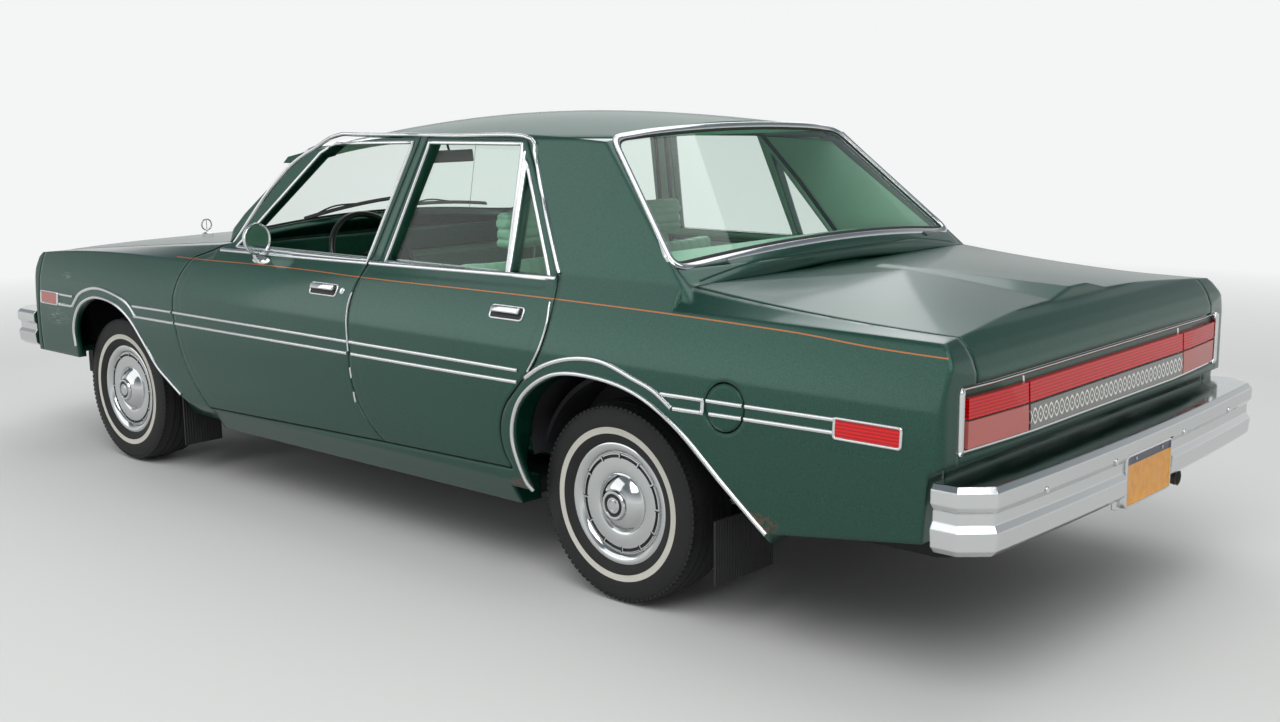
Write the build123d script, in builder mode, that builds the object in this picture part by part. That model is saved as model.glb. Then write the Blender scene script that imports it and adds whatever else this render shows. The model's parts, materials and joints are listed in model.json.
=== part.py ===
from build123d import *
from math import cos, radians, sin
import os

os.makedirs("parts", exist_ok=True)

# A four-door compact saloon of the late 1970s. X points forward, Y to the car's left, Z up,
# with the origin on the road under the middle of the car. All sizes are millimetres.

# Running gear
wheelbase = 2863
front_axle_x = 1618
rear_axle_x = front_axle_x - wheelbase
tyre_radius = 314
tyre_width = 196
rim_radius = 178
front_wheel_y = 762
rear_wheel_y = 740
kingpin_y = 690
spindle_radius = 20
bearing_clearance = 0.05
seat_clearance = 0.3

# Outer form of the body
end_x = 2555
half_width = 918
sill_z = 250
sill_half = 850
rocker_z = 342
rocker_half = 903
flank_z = 765
flank_half = 905
crease_z = 919
crease_half = 847
belt_z = 998
belt_half = 795
rail_half = 645
rail_z = 1412
cowl_x = 900
deck_x = -1480
nose_corner_x = 2275
nose_bow = 125
tail_corner_x = -2400
tail_bow = 40
plan_half = half_width + 4
corner_round = 40
valance_z = 430
nose_taper = [(0, 0), (800, 0), (850, 14), (905, 70), (1200, 320)]
# The tail's face and its rounded top edge, from the lamps up, each row: x, z
deck_edge = [(-2422, 800), (-2412, 850), (-2399, 885), (-2380, 914), (-2354, 938), (-2318, 955)]

# Walls and gaps
skin = 8
frame_depth = 36
wall_depth = 80
panel = 25
panel_gap = 6
edge_gap = 14
jamb_gap = 20
flange = 38
frame_flange = 14
glass_inset = 16
glass = 5

# Top surface of the nose and the deck, each row: x, z at the flare, shoulder half width,
# shoulder z, z on the centre line
flare_half = 950
nose_rows = [
    (cowl_x, 789, 800, 978, 1004),
    (1500, 885, 760, 930, 963),
    (2450, 843, 740, 855, 868),
]
deck_rows = [
    (deck_x, 835, 760, 999, 1014),
    (-2000, 905, 760, 949, 984),
    (-2470, 918, 760, 932, 952),
]

# Greenhouse, each row: x, z at the rail, z on the centre line
cabin_rows = [
    (1100, 1180, 1250),
    (480, 1345, 1412),
    (-300, 1417, 1488),
    (-1060, 1398, 1450),
    (-1560, 1340, 1390),
]
cabin_floor_z = 900
tumblehome = (belt_half - rail_half) / (rail_z - belt_z)

# Windscreen and rear window planes: foot x and z, then the rise in x and z
screen_foot = (884, 960)
screen_rise = (-394, 414)
screen_bow = 95
back_foot = (-1448, 1005)
back_rise = (460, 405)
back_bow = 70
glass_half = 900


def barrel_section(inset, x):
    with BuildSketch(Plane.YZ.offset(x)) as section:
        with BuildLine():
            keel = Line((0, sill_z), (sill_half, sill_z))
            tuck = Line(keel @ 1, (rocker_half, rocker_z))
            flank_arc = ThreePointArc(tuck @ 1, (half_width, 560), (flank_half, flank_z))
            upper = ThreePointArc(flank_arc @ 1, (881, 848), (crease_half, crease_z))
            shoulder = Line(upper @ 1, (belt_half, belt_z))
            Line(shoulder @ 1, (0, belt_z))
            mirror(about=Plane.YZ)
        make_face()
        if inset:
            offset(amount=-inset, kind=Kind.INTERSECTION)
    return section.sketch


def crown_section(inset, row):
    x, flare_z, edge_half, edge_z, crown_z = row
    with BuildSketch(Plane.YZ.offset(x)) as section:
        with BuildLine():
            base = Polyline((0, 0), (flare_half, 0), (flare_half, flare_z - inset))
            slope = Line(base @ 1, (edge_half, edge_z - inset))
            ThreePointArc(slope @ 1, (0, crown_z - inset), (-edge_half, edge_z - inset))
            Line((-edge_half, edge_z - inset), (-flare_half, flare_z - inset))
            Polyline((-flare_half, flare_z - inset), (-flare_half, 0), (0, 0))
        make_face()
    return section.sketch


def plan_section(inset, z, taper):
    nose_x = nose_corner_x + nose_bow - taper
    corner_x = nose_corner_x - taper
    tail_x = tail_corner_x - tail_bow
    with BuildSketch(Plane.XY.offset(z)) as section:
        with BuildLine():
            ThreePointArc((corner_x, plan_half), (nose_x, 0), (corner_x, -plan_half))
            Line((corner_x, -plan_half), (tail_corner_x, -plan_half))
            ThreePointArc((tail_corner_x, -plan_half), (tail_x, 0), (tail_corner_x, plan_half))
            Line((tail_corner_x, plan_half), (corner_x, plan_half))
        make_face()
        fillet(section.vertices(), corner_round)
        if inset:
            offset(amount=-inset, kind=Kind.INTERSECTION)
    return section.sketch


def flank_profile(inset):
    with BuildSketch(Plane.XZ) as section:
        with BuildLine():
            Polyline(
                (2500, 1100),
                (2500, valance_z),
                (1860, valance_z),
                (1860, 240),
                (-1880, 240),
                (-1880, 362),
                (-2355, valance_z),
                (-2370, 612),
                (-2425, 632),
                (-2430, 650),
                *deck_edge,
                (-2290, 1100),
                close=True,
            )
        make_face()
        if inset:
            offset(amount=-inset, kind=Kind.INTERSECTION)
    return section.sketch


def lower_form(inset):
    with BuildPart() as nose:
        extrude(barrel_section(inset, cowl_x), amount=end_x - cowl_x)
        loft([crown_section(inset, row) for row in nose_rows], mode=Mode.INTERSECT)
    with BuildPart() as tail:
        extrude(barrel_section(inset, -end_x), amount=end_x + deck_x)
        loft([crown_section(inset, row) for row in deck_rows], mode=Mode.INTERSECT)
    with BuildPart() as form:
        extrude(barrel_section(inset, deck_x), amount=cowl_x - deck_x)
        add(nose.part)
        add(tail.part)
        loft([plan_section(inset, z, taper) for z, taper in nose_taper], ruled=True, mode=Mode.INTERSECT)
        extrude(flank_profile(inset), amount=1000, both=True, mode=Mode.INTERSECT)
    return form.part


def cabin_section(inset, row):
    x, side_z, crown_z = row
    foot_half = belt_half + (belt_z - cabin_floor_z) * tumblehome - inset
    top_half = belt_half - (side_z - belt_z) * tumblehome - inset
    top_z = side_z - inset
    with BuildSketch(Plane.YZ.offset(x)) as section:
        with BuildLine():
            Polyline(
                (-top_half, top_z),
                (-foot_half, cabin_floor_z),
                (foot_half, cabin_floor_z),
                (top_half, top_z),
            )
            ThreePointArc((top_half, top_z), (0, crown_z - inset), (-top_half, top_z))
        make_face()
    return section.sketch


def glass_plane(foot, rise, side):
    return Plane(origin=(foot[0], 0, foot[1]), x_dir=(0, side, 0), z_dir=(rise[0], 0, rise[1]))


def behind_glass(plane, bow, inset):
    with BuildSketch(plane) as section:
        with BuildLine():
            ThreePointArc((-glass_half, inset), (0, inset - bow), (glass_half, inset))
            Polyline((glass_half, inset), (glass_half, 3000), (-glass_half, 3000), (-glass_half, inset))
        make_face()
    return section.sketch


screen_cut_plane = glass_plane(screen_foot, screen_rise, 1)
back_cut_plane = glass_plane(back_foot, back_rise, -1)


def cabin_form(inset):
    with BuildPart() as front:
        extrude(behind_glass(screen_cut_plane, screen_bow, inset), amount=end_x, both=True)
    with BuildPart() as rear:
        extrude(behind_glass(back_cut_plane, back_bow, inset), amount=end_x, both=True)
    with BuildPart() as form:
        loft([cabin_section(inset, row) for row in cabin_rows])
        add(front.part, mode=Mode.INTERSECT)
        add(rear.part, mode=Mode.INTERSECT)
    return form.part


def body_form(low_inset, high_inset):
    with BuildPart() as form:
        add(lower_form(low_inset))
        add(cabin_form(high_inset))
    return form.part


outer_form = body_form(0, 0)
skin_form = body_form(skin, skin)
edge_form = body_form(edge_gap, edge_gap)
inner_form = body_form(wall_depth, frame_depth)
lower_outer = lower_form(0)
lower_skin = lower_form(skin)
lower_panel = lower_form(panel)
lower_seat = lower_form(-seat_clearance)
lower_rest = lower_form(panel + seat_clearance)
lower_stop = lower_form(skin + seat_clearance)
lower_proud = lower_form(-4)
recess_form = lower_form(edge_gap)
reach = 1000
waist_z = 985


# Door leaves below the waist, each row: x, z. Odd rows lie midway along an arc where marked
front_leaf_heel = [(884, 342), (1010, 490), (1080, 646), (1100, 790), (1034, 922)]
front_leaf_top = [(1034, 922), (893, 966), (838, waist_z), (-51, waist_z)]
front_leaf_back = [(-51, waist_z), (-28, 830), (-50, 680), (-88, 500), (-222, 372)]
rear_leaf_back = [(-862, 384), (-822, 500), (-868, 612), (-975, 730), (-1010, 850), (-980, waist_z)]
rear_leaf_front = [(-59, 972), (-34, 830), (-56, 680), (-94, 500), (-228, 372)]


def front_leaf(grow):
    with BuildSketch(Plane.XZ) as outline:
        with BuildLine():
            ThreePointArc(*front_leaf_heel[:3])
            ThreePointArc(*front_leaf_heel[2:])
            Polyline(*front_leaf_top)
            ThreePointArc(*front_leaf_back[:3])
            ThreePointArc(*front_leaf_back[2:])
            Line(front_leaf_back[-1], front_leaf_heel[0])
        make_face()
        if grow:
            offset(amount=grow, kind=Kind.ARC)
    return outline.sketch


def front_leaf_core(grow):
    return window_outline(front_leaf_heel + front_leaf_top[1:] + front_leaf_back[1:], grow)


def front_frame(grow):
    with BuildSketch(Plane.XZ) as outline:
        with BuildLine():
            pillar = Line((838, 975), (612, 1240))
            brow = ThreePointArc(pillar @ 1, (465, 1338), (290, 1396))
            Polyline(brow @ 1, (-160, 1402), (-51, 968), pillar @ 0)
        make_face()
        if grow:
            offset(amount=grow, kind=Kind.ARC)
    return outline.sketch


def rear_leaf(grow):
    with BuildSketch(Plane.XZ) as outline:
        with BuildLine():
            ThreePointArc(*rear_leaf_back[:3])
            Line(*rear_leaf_back[2:4])
            ThreePointArc(*rear_leaf_back[3:])
            Line(rear_leaf_back[-1], rear_leaf_front[0])
            ThreePointArc(*rear_leaf_front[:3])
            ThreePointArc(*rear_leaf_front[2:])
            Line(rear_leaf_front[-1], rear_leaf_back[0])
        make_face()
        if grow:
            offset(amount=grow, kind=Kind.ARC)
    return outline.sketch


def rear_leaf_core(grow):
    return window_outline(rear_leaf_back + rear_leaf_front, grow)


def rear_frame(grow):
    points = [(-106, 968), (-988, 968), (-835, 1214), (-700, 1396), (-205, 1402)]
    return window_outline(points, grow)


def window_outline(points, grow):
    with BuildSketch(Plane.XZ) as outline:
        with BuildLine():
            Polyline(*points, close=True)
        make_face()
        if grow:
            offset(amount=grow, kind=Kind.INTERSECTION)
    return outline.sketch


front_window = [(765, 985), (390, 1336), (326, 1370), (-120, 1380), (-30, 985)]
rear_window_main = [(-143, 986), (-223, 1380), (-677, 1382), (-742, 986)]
rear_window_vent = [(-766, 986), (-724, 1317), (-935, 986)]


def door_core(core_outline, frame, spare):
    with BuildPart() as lower:
        extrude(core_outline(spare - flange), amount=-reach)
        with Locations((0, 0, waist_z)):
            Box(6000, 2 * reach, 1000, align=(Align.CENTER, Align.CENTER, Align.MIN), mode=Mode.SUBTRACT)
    with BuildPart() as core:
        extrude(frame(spare - frame_flange), amount=-reach)
        with Locations((0, 0, waist_z)):
            Box(6000, 2 * reach, 1000, align=(Align.CENTER, Align.CENTER, Align.MAX), mode=Mode.SUBTRACT)
        add(lower.part)
    return core.part


def door(leaf, leaf_core, frame, windows):
    with BuildPart() as rim:
        extrude(leaf(0), amount=-reach)
        extrude(frame(0), amount=-reach)
        add(door_core(leaf_core, frame, 0), mode=Mode.SUBTRACT)
        add(skin_form, mode=Mode.INTERSECT)
    with BuildPart() as door_part:
        extrude(leaf(0), amount=-reach)
        extrude(frame(0), amount=-reach)
        add(outer_form, mode=Mode.INTERSECT)
        add(rim.part, mode=Mode.SUBTRACT)
        add(inner_form, mode=Mode.SUBTRACT)
        Box(6000, 1200, 3200, mode=Mode.SUBTRACT)
        with Locations((0, 0, waist_z)):
            Box(6000, 1400, 1000, align=(Align.CENTER, Align.CENTER, Align.MAX), mode=Mode.SUBTRACT)
        for points in windows:
            extrude(window_outline(points, 0), amount=-reach, mode=Mode.SUBTRACT)
    return door_part.part


def door_opening(leaf, leaf_core, frame):
    with BuildPart() as opening:
        extrude(leaf(panel_gap), amount=-reach)
        extrude(frame(panel_gap), amount=-reach)
        add(edge_form, mode=Mode.SUBTRACT)
        add(door_core(leaf_core, frame, jamb_gap))
    return opening.part


def save(part, name):
    part.label = name
    export_step(part, f"parts/{name}.step")


def save_pair(part, name):
    save(part, f"{name}_left")
    with BuildPart() as other:
        mirror(part, about=Plane.XZ)
    save(other.part, f"{name}_right")


front_door = door(front_leaf, front_leaf_core, front_frame, [front_window])
save_pair(front_door, "door_front")
rear_door = door(rear_leaf, rear_leaf_core, rear_frame, [rear_window_main, rear_window_vent])
save_pair(rear_door, "door_rear")

# Door glass, behind the frames' faces
with BuildPart() as pane:
    add(cabin_form(glass_inset))
    add(cabin_form(glass_inset + glass), mode=Mode.SUBTRACT)


def door_glass(windows):
    with BuildPart() as cutter:
        for points in windows:
            extrude(window_outline(points, -seat_clearance), amount=-reach)
    with BuildPart() as panes:
        add(pane.part)
        add(cutter.part, mode=Mode.INTERSECT)
    return panes.part


with BuildPart() as glass_front_right:
    mirror(door_glass([front_window]), about=Plane.XZ)
save(glass_front_right.part, "glass_front_right")
save_pair(door_glass([rear_window_main, rear_window_vent]), "glass_rear")

# Windscreen and rear window openings
def glass_face_plane(foot, rise, side):
    out = (side * rise[1], 0, -side * rise[0])
    return Plane(origin=(foot[0], 0, foot[1]), x_dir=(0, side, 0), z_dir=out)


screen_out_plane = glass_face_plane(screen_foot, screen_rise, 1)
back_out_plane = glass_face_plane(back_foot, back_rise, -1)


def glass_opening(plane, foot, head, grow):
    with BuildSketch(plane) as outline:
        with BuildLine():
            Polyline((-foot[0], foot[1]), foot, head, (-head[0], head[1]), close=True)
        make_face()
        fillet(outline.vertices(), 50)
        if grow:
            offset(amount=grow, kind=Kind.INTERSECTION)
    return outline.sketch


screen_opening = ((765, 50), (610, 535))
back_opening = ((765, 28), (605, 570))

with BuildPart() as screen_hole:
    extrude(glass_opening(screen_out_plane, *screen_opening, 0), amount=180, both=True)
with BuildPart() as back_hole:
    extrude(glass_opening(back_out_plane, *back_opening, 0), amount=180, both=True)

with BuildPart() as thin_pane:
    add(cabin_form(6))
    add(cabin_form(6 + glass), mode=Mode.SUBTRACT)
with BuildPart() as windshield:
    extrude(glass_opening(screen_out_plane, *screen_opening, -seat_clearance), amount=180, both=True)
    add(thin_pane.part, mode=Mode.INTERSECT)
save(windshield.part, "windshield")
with BuildPart() as rear_window:
    extrude(glass_opening(back_out_plane, *back_opening, -seat_clearance), amount=180, both=True)
    add(thin_pane.part, mode=Mode.INTERSECT)
save(rear_window.part, "rear_window")

# Roof, above the door frames and between the two glasses
roof_edge = [(-1250, 1408), (285, 1404), (404, 1370), (540, 1300), (900, 1300), (900, 1600), (-1250, 1600)]
with BuildPart() as roof_zone:
    extrude(window_outline(roof_edge, 0), amount=reach, both=True)
with BuildPart() as roof_panel:
    add(roof_zone.part)
    add(outer_form, mode=Mode.INTERSECT)
    add(inner_form, mode=Mode.SUBTRACT)
    add(screen_hole.part, mode=Mode.SUBTRACT)
    add(back_hole.part, mode=Mode.SUBTRACT)
save(roof_panel.part, "roof_panel")

# Wheel arches
with BuildPart() as front_arch:
    with BuildSketch(Plane.XZ):
        with BuildLine():
            lead = Line((1908, 200), (1910, 480))
            crest = ThreePointArc(lead @ 1, (1912, 575), (1857, 655))
            top = ThreePointArc(crest @ 1, (1760, 698), (1655, 703))
            fall = ThreePointArc(top @ 1, (1545, 683), (1439, 634))
            run = ThreePointArc(fall @ 1, (1340, 551), (1246, 459))
            Polyline(run @ 1, (1091, 360), (880, 265), (880, 200), (1908, 200))
        make_face()
    extrude(amount=-reach)
with BuildPart() as rear_arch:
    with BuildSketch(Plane.XZ):
        with BuildLine():
            lead = Line((-1000, 200), (-905, 410))
            crest = ThreePointArc(lead @ 1, (-890, 520), (-940, 620))
            top = ThreePointArc(crest @ 1, (-1055, 695), (-1212, 711))
            fall = ThreePointArc(top @ 1, (-1395, 684), (-1560, 603))
            Polyline(fall @ 1, (-1885, 330), (-1885, 200), (-1000, 200))
        make_face()
    extrude(amount=-reach)
wheelhouse_radius = 400
wheelhouse_inner_y = 620
wheelhouse_outer_y = 888
with BuildPart() as wheelhouse_space:
    with BuildSketch(Plane.XZ.offset(-wheelhouse_inner_y)):
        with Locations((rear_axle_x, tyre_radius)):
            Circle(wheelhouse_radius)
    extrude(amount=-(wheelhouse_outer_y - wheelhouse_inner_y))

# Fuel door in the left quarter
fuel_door_x = -1728
fuel_door_z = 693
fuel_door_radius = 66
swing_gap = 5
with BuildPart() as fuel_door:
    with BuildSketch(Plane.XZ):
        with Locations((fuel_door_x, fuel_door_z)):
            Circle(fuel_door_radius)
    extrude(amount=-reach)
    add(lower_outer, mode=Mode.INTERSECT)
    add(lower_skin, mode=Mode.SUBTRACT)
save(fuel_door.part, "fuel_door")
filler_radius = 30
with BuildPart() as fuel_pocket:
    with BuildSketch(Plane.XZ.offset(-860)):
        with Locations((fuel_door_x, fuel_door_z)):
            Circle(fuel_door_radius + swing_gap)
    extrude(amount=-200)
with BuildPart() as fuel_stop:
    with Locations((fuel_door_x + 52, 850, fuel_door_z)):
        Box(16, 80, 40, align=(Align.CENTER, Align.MIN, Align.CENTER))
    add(lower_stop, mode=Mode.INTERSECT)
with BuildPart() as filler_bore:
    with BuildSketch(Plane.XZ):
        with Locations((fuel_door_x, fuel_door_z)):
            Circle(filler_radius)
    extrude(amount=-reach)

# Body sides: pillars, sills and quarters
hinge_pillar_x = 1118
trunk_half = 766
side_edge = [
    (-2500, 200), (hinge_pillar_x, 200), (hinge_pillar_x, 915), (905, 952), (905, 1000),
    (560, 1300), (540, 1300), (404, 1370), (285, 1404), (-1250, 1408), (-1520, 1300), (-2500, 1300),
]
with BuildPart() as fender_skin_zone:
    with BuildSketch(Plane.XZ):
        with BuildLine():
            Polyline((870, 200), (870, 966), (838, 975), (838, 1100), (1400, 1100), (1400, 200), close=True)
        make_face()
    extrude(amount=-reach)
    extrude(front_leaf(0), amount=-reach, mode=Mode.SUBTRACT)
    add(lower_panel, mode=Mode.SUBTRACT)

pillar_half = 560
tail_front_x = -2330
lamp_half = 836
lamp_low = 648
lamp_high = 819
rear_side_split_x = deck_x - 23
strip_depth = 160
strip_top = 1040

# Hinge blocks that the doors' front faces close against, each row: middle x, middle z
pad_height = 40
front_pads = [(1010, 480), (1050, 800)]
rear_pads = [(-90, 600), (-70, 800)]
pad_y = 860


def hinge_pads(pads, core_outline):
    with BuildPart() as blocks:
        for x, z in pads:
            with Locations((x, pad_y, z)):
                Box(90, 24, pad_height)
        extrude(core_outline(seat_clearance - flange), amount=-reach, mode=Mode.SUBTRACT)
    return blocks.part


with BuildPart() as body_side:
    extrude(window_outline(side_edge, 0), amount=-reach)
    add(outer_form, mode=Mode.INTERSECT)
    add(inner_form, mode=Mode.SUBTRACT)
    Box(6000, 2 * pillar_half, 3200, mode=Mode.SUBTRACT)
    with Locations((0, 0, rail_z)):
        Box(6000, 2 * 612, 60, mode=Mode.SUBTRACT)
    with Locations((0, 0, waist_z)):
        Box(6000, 2 * trunk_half, 1200, align=(Align.CENTER, Align.CENTER, Align.MAX), mode=Mode.SUBTRACT)
    with Locations((rear_side_split_x, 0, 0)):
        Box(1500, 2 * trunk_half, 3200, align=(Align.MAX, Align.CENTER, Align.CENTER), mode=Mode.SUBTRACT)
    with Locations((rear_side_split_x, 0, strip_top)):
        Box(strip_depth, 2 * trunk_half, 400, align=(Align.MIN, Align.CENTER, Align.MAX), mode=Mode.SUBTRACT)
    add(fender_skin_zone.part, mode=Mode.SUBTRACT)
    add(door_opening(front_leaf, front_leaf_core, front_frame), mode=Mode.SUBTRACT)
    add(door_opening(rear_leaf, rear_leaf_core, rear_frame), mode=Mode.SUBTRACT)
    add(hinge_pads(front_pads, front_leaf_core))
    add(hinge_pads(rear_pads, rear_leaf_core))
    add(screen_hole.part, mode=Mode.SUBTRACT)
    add(back_hole.part, mode=Mode.SUBTRACT)
    add(rear_arch.part, mode=Mode.SUBTRACT)
    add(wheelhouse_space.part, mode=Mode.SUBTRACT)
    with Locations((tail_front_x, 0, lamp_high)):
        Box(500, 2 * lamp_half, 900, align=(Align.MAX, Align.CENTER, Align.MAX), mode=Mode.SUBTRACT)

with BuildPart() as body_side_left:
    add(body_side.part)
    add(fuel_pocket.part, mode=Mode.SUBTRACT)
    add(filler_bore.part, mode=Mode.SUBTRACT)
    add(fuel_stop.part)
save(body_side_left.part, "body_side_left")
with BuildPart() as body_side_right:
    mirror(body_side.part, about=Plane.XZ)
save(body_side_right.part, "body_side_right")

# Front fenders
fender_front_x = 2232
fender_lip_half = 878
hood_half = 700
with BuildPart() as front_fender:
    with Locations((870, 0, 200)):
        Box(fender_front_x - 870, 2 * reach, 900, align=(Align.MIN, Align.CENTER, Align.MIN))
    add(lower_outer, mode=Mode.INTERSECT)
    add(lower_panel, mode=Mode.SUBTRACT)
    Box(6000, 2 * (hood_half + panel_gap), 3200, mode=Mode.SUBTRACT)
    Box(2 * 2040, 2 * fender_lip_half, 2 * 480, mode=Mode.SUBTRACT)
    with Locations((0, -reach, 0)):
        Box(6000, 2 * reach, 3200, mode=Mode.SUBTRACT)
    extrude(front_leaf(panel_gap), amount=-reach, mode=Mode.SUBTRACT)
    add(front_arch.part, mode=Mode.SUBTRACT)
    with Locations((cowl_x, 0, waist_z - 13)):
        Box(120, 2 * reach, 200, align=(Align.MAX, Align.CENTER, Align.MIN), mode=Mode.SUBTRACT)
save_pair(front_fender.part, "front_fender")

# Hood and nose panel
hood_back_x = 972
hood_back_bow = 94
hood_front_x = 2280
hood_front_bow = 62


def hood_plan(grow):
    with BuildSketch(Plane.XY.offset(600)) as outline:
        with BuildLine():
            back_middle = (hood_back_x + hood_back_bow, 0)
            front_middle = (hood_front_x + hood_front_bow, 0)
            back = ThreePointArc((hood_back_x, hood_half), back_middle, (hood_back_x, -hood_half))
            right = Line(back @ 1, (hood_front_x, -hood_half))
            front = ThreePointArc(right @ 1, front_middle, (hood_front_x, hood_half))
            Line(front @ 1, back @ 0)
        make_face()
        if grow:
            offset(amount=grow, kind=Kind.ARC)
    return outline.sketch


with BuildPart() as hood:
    extrude(hood_plan(0), amount=500)
    add(lower_outer, mode=Mode.INTERSECT)
    add(lower_panel, mode=Mode.SUBTRACT)
save(hood.part, "hood")

grille_half = 400
grille_low = 575
grille_high = 790
lamp_y = 610
lamp_z = 700
lamp_radius = 92
with BuildPart() as nose_panel:
    with Locations((fender_front_x + panel_gap, 0, 200)):
        Box(400, 2 * reach, 900, align=(Align.MIN, Align.CENTER, Align.MIN))
    add(lower_outer, mode=Mode.INTERSECT)
    add(lower_panel, mode=Mode.SUBTRACT)
    extrude(hood_plan(panel_gap), amount=500, mode=Mode.SUBTRACT)
    with BuildSketch(Plane.YZ.offset(2000)):
        with Locations((0, (grille_low + grille_high) / 2)):
            Rectangle(2 * grille_half, grille_high - grille_low)
        with Locations((lamp_y, lamp_z), (-lamp_y, lamp_z)):
            Circle(lamp_radius)
    extrude(amount=600, mode=Mode.SUBTRACT)
save(nose_panel.part, "nose_panel")

# Grille: a frame and upright bars that follow the nose
grille_bar = 7
grille_bars = 31
grille_frame = 14
grille_wide = 2 * (grille_half - grille_frame)
grille_tall = grille_high - grille_low - 2 * grille_frame
with BuildPart() as grille:
    add(recess_form)
    with BuildSketch(Plane.YZ.offset(2000)):
        with Locations((0, (grille_low + grille_high) / 2)):
            Rectangle(2 * (grille_half - seat_clearance), grille_high - grille_low - 2 * seat_clearance)
            Rectangle(grille_wide, grille_tall, mode=Mode.SUBTRACT)
            with GridLocations(grille_wide / (grille_bars + 1), 0, grille_bars, 1):
                Rectangle(grille_bar, grille_tall + 1)
            Rectangle(grille_wide + 1, grille_bar)
    extrude(amount=600, mode=Mode.INTERSECT)
    add(lower_panel, mode=Mode.SUBTRACT)
save(grille.part, "grille")

# Front lamps: round glasses with domed faces
lamp_back_x = 2270
lamp_face_x = 2344
lamp_dome_radius = 309


def front_lamp(side):
    with BuildPart() as lamp:
        with BuildSketch(Plane.YZ.offset(lamp_back_x)):
            with Locations((side * lamp_y, lamp_z)):
                Circle(lamp_radius - seat_clearance)
        extrude(amount=lamp_face_x - lamp_back_x)
        with Locations((lamp_face_x - lamp_dome_radius, side * lamp_y, lamp_z)):
            Sphere(lamp_dome_radius, mode=Mode.INTERSECT)
    return lamp.part


# Side markers stand on the flanks, each: middle x, length, low z, high z
front_marker = (2137, 142, 655, 700)
rear_marker = (-2191, 192, 668, 712)


def side_markers(place):
    x, length, low_z, high_z = place
    with BuildPart() as markers:
        with Locations((x, 0, low_z)):
            Box(length, 2 * reach, high_z - low_z, align=(Align.CENTER, Align.CENTER, Align.MIN))
        add(lower_proud, mode=Mode.INTERSECT)
        add(lower_seat, mode=Mode.SUBTRACT)
    return markers.part


with BuildPart() as front_lamps:
    add(front_lamp(-1))
    add(front_lamp(1))
    add(side_markers(front_marker))
save(front_lamps.part, "front_lamps")

# Trunk lid with its raised centre
lid_half = trunk_half - panel_gap
lid_front_x = rear_side_split_x - panel_gap
ridge_rows = [(-2460, 250, 60, 30), (-1650, 60, 20, 1)]
with BuildPart() as lid_ridge:
    ridge_sections = []
    for x, foot, crest, rise in ridge_rows:
        share = (x - deck_rows[0][0]) / (deck_rows[2][0] - deck_rows[0][0])
        top = deck_rows[0][4] + (deck_rows[2][4] - deck_rows[0][4]) * share
        with BuildSketch(Plane.YZ.offset(x)) as section:
            with BuildLine():
                Polyline((-foot, top - 15), (foot, top - 15), (foot, top - 8), (crest, top + rise),
                         (-crest, top + rise), (-foot, top - 8), close=True)
            make_face()
        ridge_sections.append(section.sketch)
    loft(ridge_sections)
    extrude(flank_profile(0), amount=1000, both=True, mode=Mode.INTERSECT)
with BuildPart() as trunk_lid:
    add(lower_outer)
    add(lid_ridge.part)
    with BuildSketch(Plane.XY.offset(lamp_high + panel_gap)):
        with Locations((lid_front_x, 0)):
            Rectangle(1200, 2 * lid_half, align=(Align.MAX, Align.CENTER))
    extrude(amount=400, mode=Mode.INTERSECT)
    add(lower_panel, mode=Mode.SUBTRACT)
save(trunk_lid.part, "trunk_lid")

# Tail panel and rear lamps
lens_rows = [(515, 800, 737, 790), (515, 800, 662, 731)]
band_half = 505
with BuildPart() as lamp_zone:
    with BuildSketch(Plane.YZ.offset(-end_x)):
        with Locations((0, (lamp_low + lamp_high) / 2)):
            Rectangle(2 * (lamp_half - 12), lamp_high - lamp_low - 4)
    extrude(amount=300)
    add(recess_form, mode=Mode.SUBTRACT)
with BuildPart() as tail_panel:
    add(lower_outer)
    with BuildSketch(Plane.YZ.offset(-end_x)):
        with Locations((0, lamp_high)):
            Rectangle(2 * lamp_half, 700, align=(Align.CENTER, Align.MAX))
    extrude(amount=end_x + tail_front_x, mode=Mode.INTERSECT)
    add(lower_panel, mode=Mode.SUBTRACT)
    add(lamp_zone.part, mode=Mode.SUBTRACT)
save(tail_panel.part, "tail_panel")
with BuildPart() as rear_lamps:
    add(lower_proud)
    with BuildSketch(Plane.YZ.offset(-end_x)):
        for low_y, high_y, low_z, high_z in lens_rows:
            for side in (-1, 1):
                with Locations((side * (low_y + high_y) / 2, (low_z + high_z) / 2)):
                    Rectangle(high_y - low_y, high_z - low_z)
        with Locations((0, 763)):
            Rectangle(2 * band_half, 54)
        with Locations((0, 696)):
            Rectangle(2 * band_half, 68)
    extrude(amount=300, mode=Mode.INTERSECT)
    add(recess_form, mode=Mode.SUBTRACT)
    add(side_markers(rear_marker))
save(rear_lamps.part, "rear_lamps")

# Cowl and firewall
tunnel_half = 150
tunnel_top = 430
sheet = 20
firewall_x = 1142
firewall_wall = 24
firewall_back_x = firewall_x - firewall_wall
floor_low = 262
floor_top = 290
with BuildPart() as cowl_skin:
    with BuildSketch(Plane.XY.offset(850)):
        with Locations((cowl_x - 45, 0)):
            Rectangle(400, 2 * hood_half, align=(Align.MIN, Align.CENTER))
    extrude(amount=300)
    add(outer_form, mode=Mode.INTERSECT)
    add(lower_panel, mode=Mode.SUBTRACT)
    add(cabin_form(frame_depth), mode=Mode.SUBTRACT)
    extrude(hood_plan(panel_gap), amount=500, mode=Mode.SUBTRACT)
    add(screen_hole.part, mode=Mode.SUBTRACT)


def hood_pads(x, y, low_z):
    with BuildPart() as pads:
        for side in (-1, 1):
            with Locations((x, side * y, low_z)):
                Box(24, 50, 200, align=(Align.CENTER, Align.CENTER, Align.MIN))
        add(lower_rest, mode=Mode.INTERSECT)
    return pads.part


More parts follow.
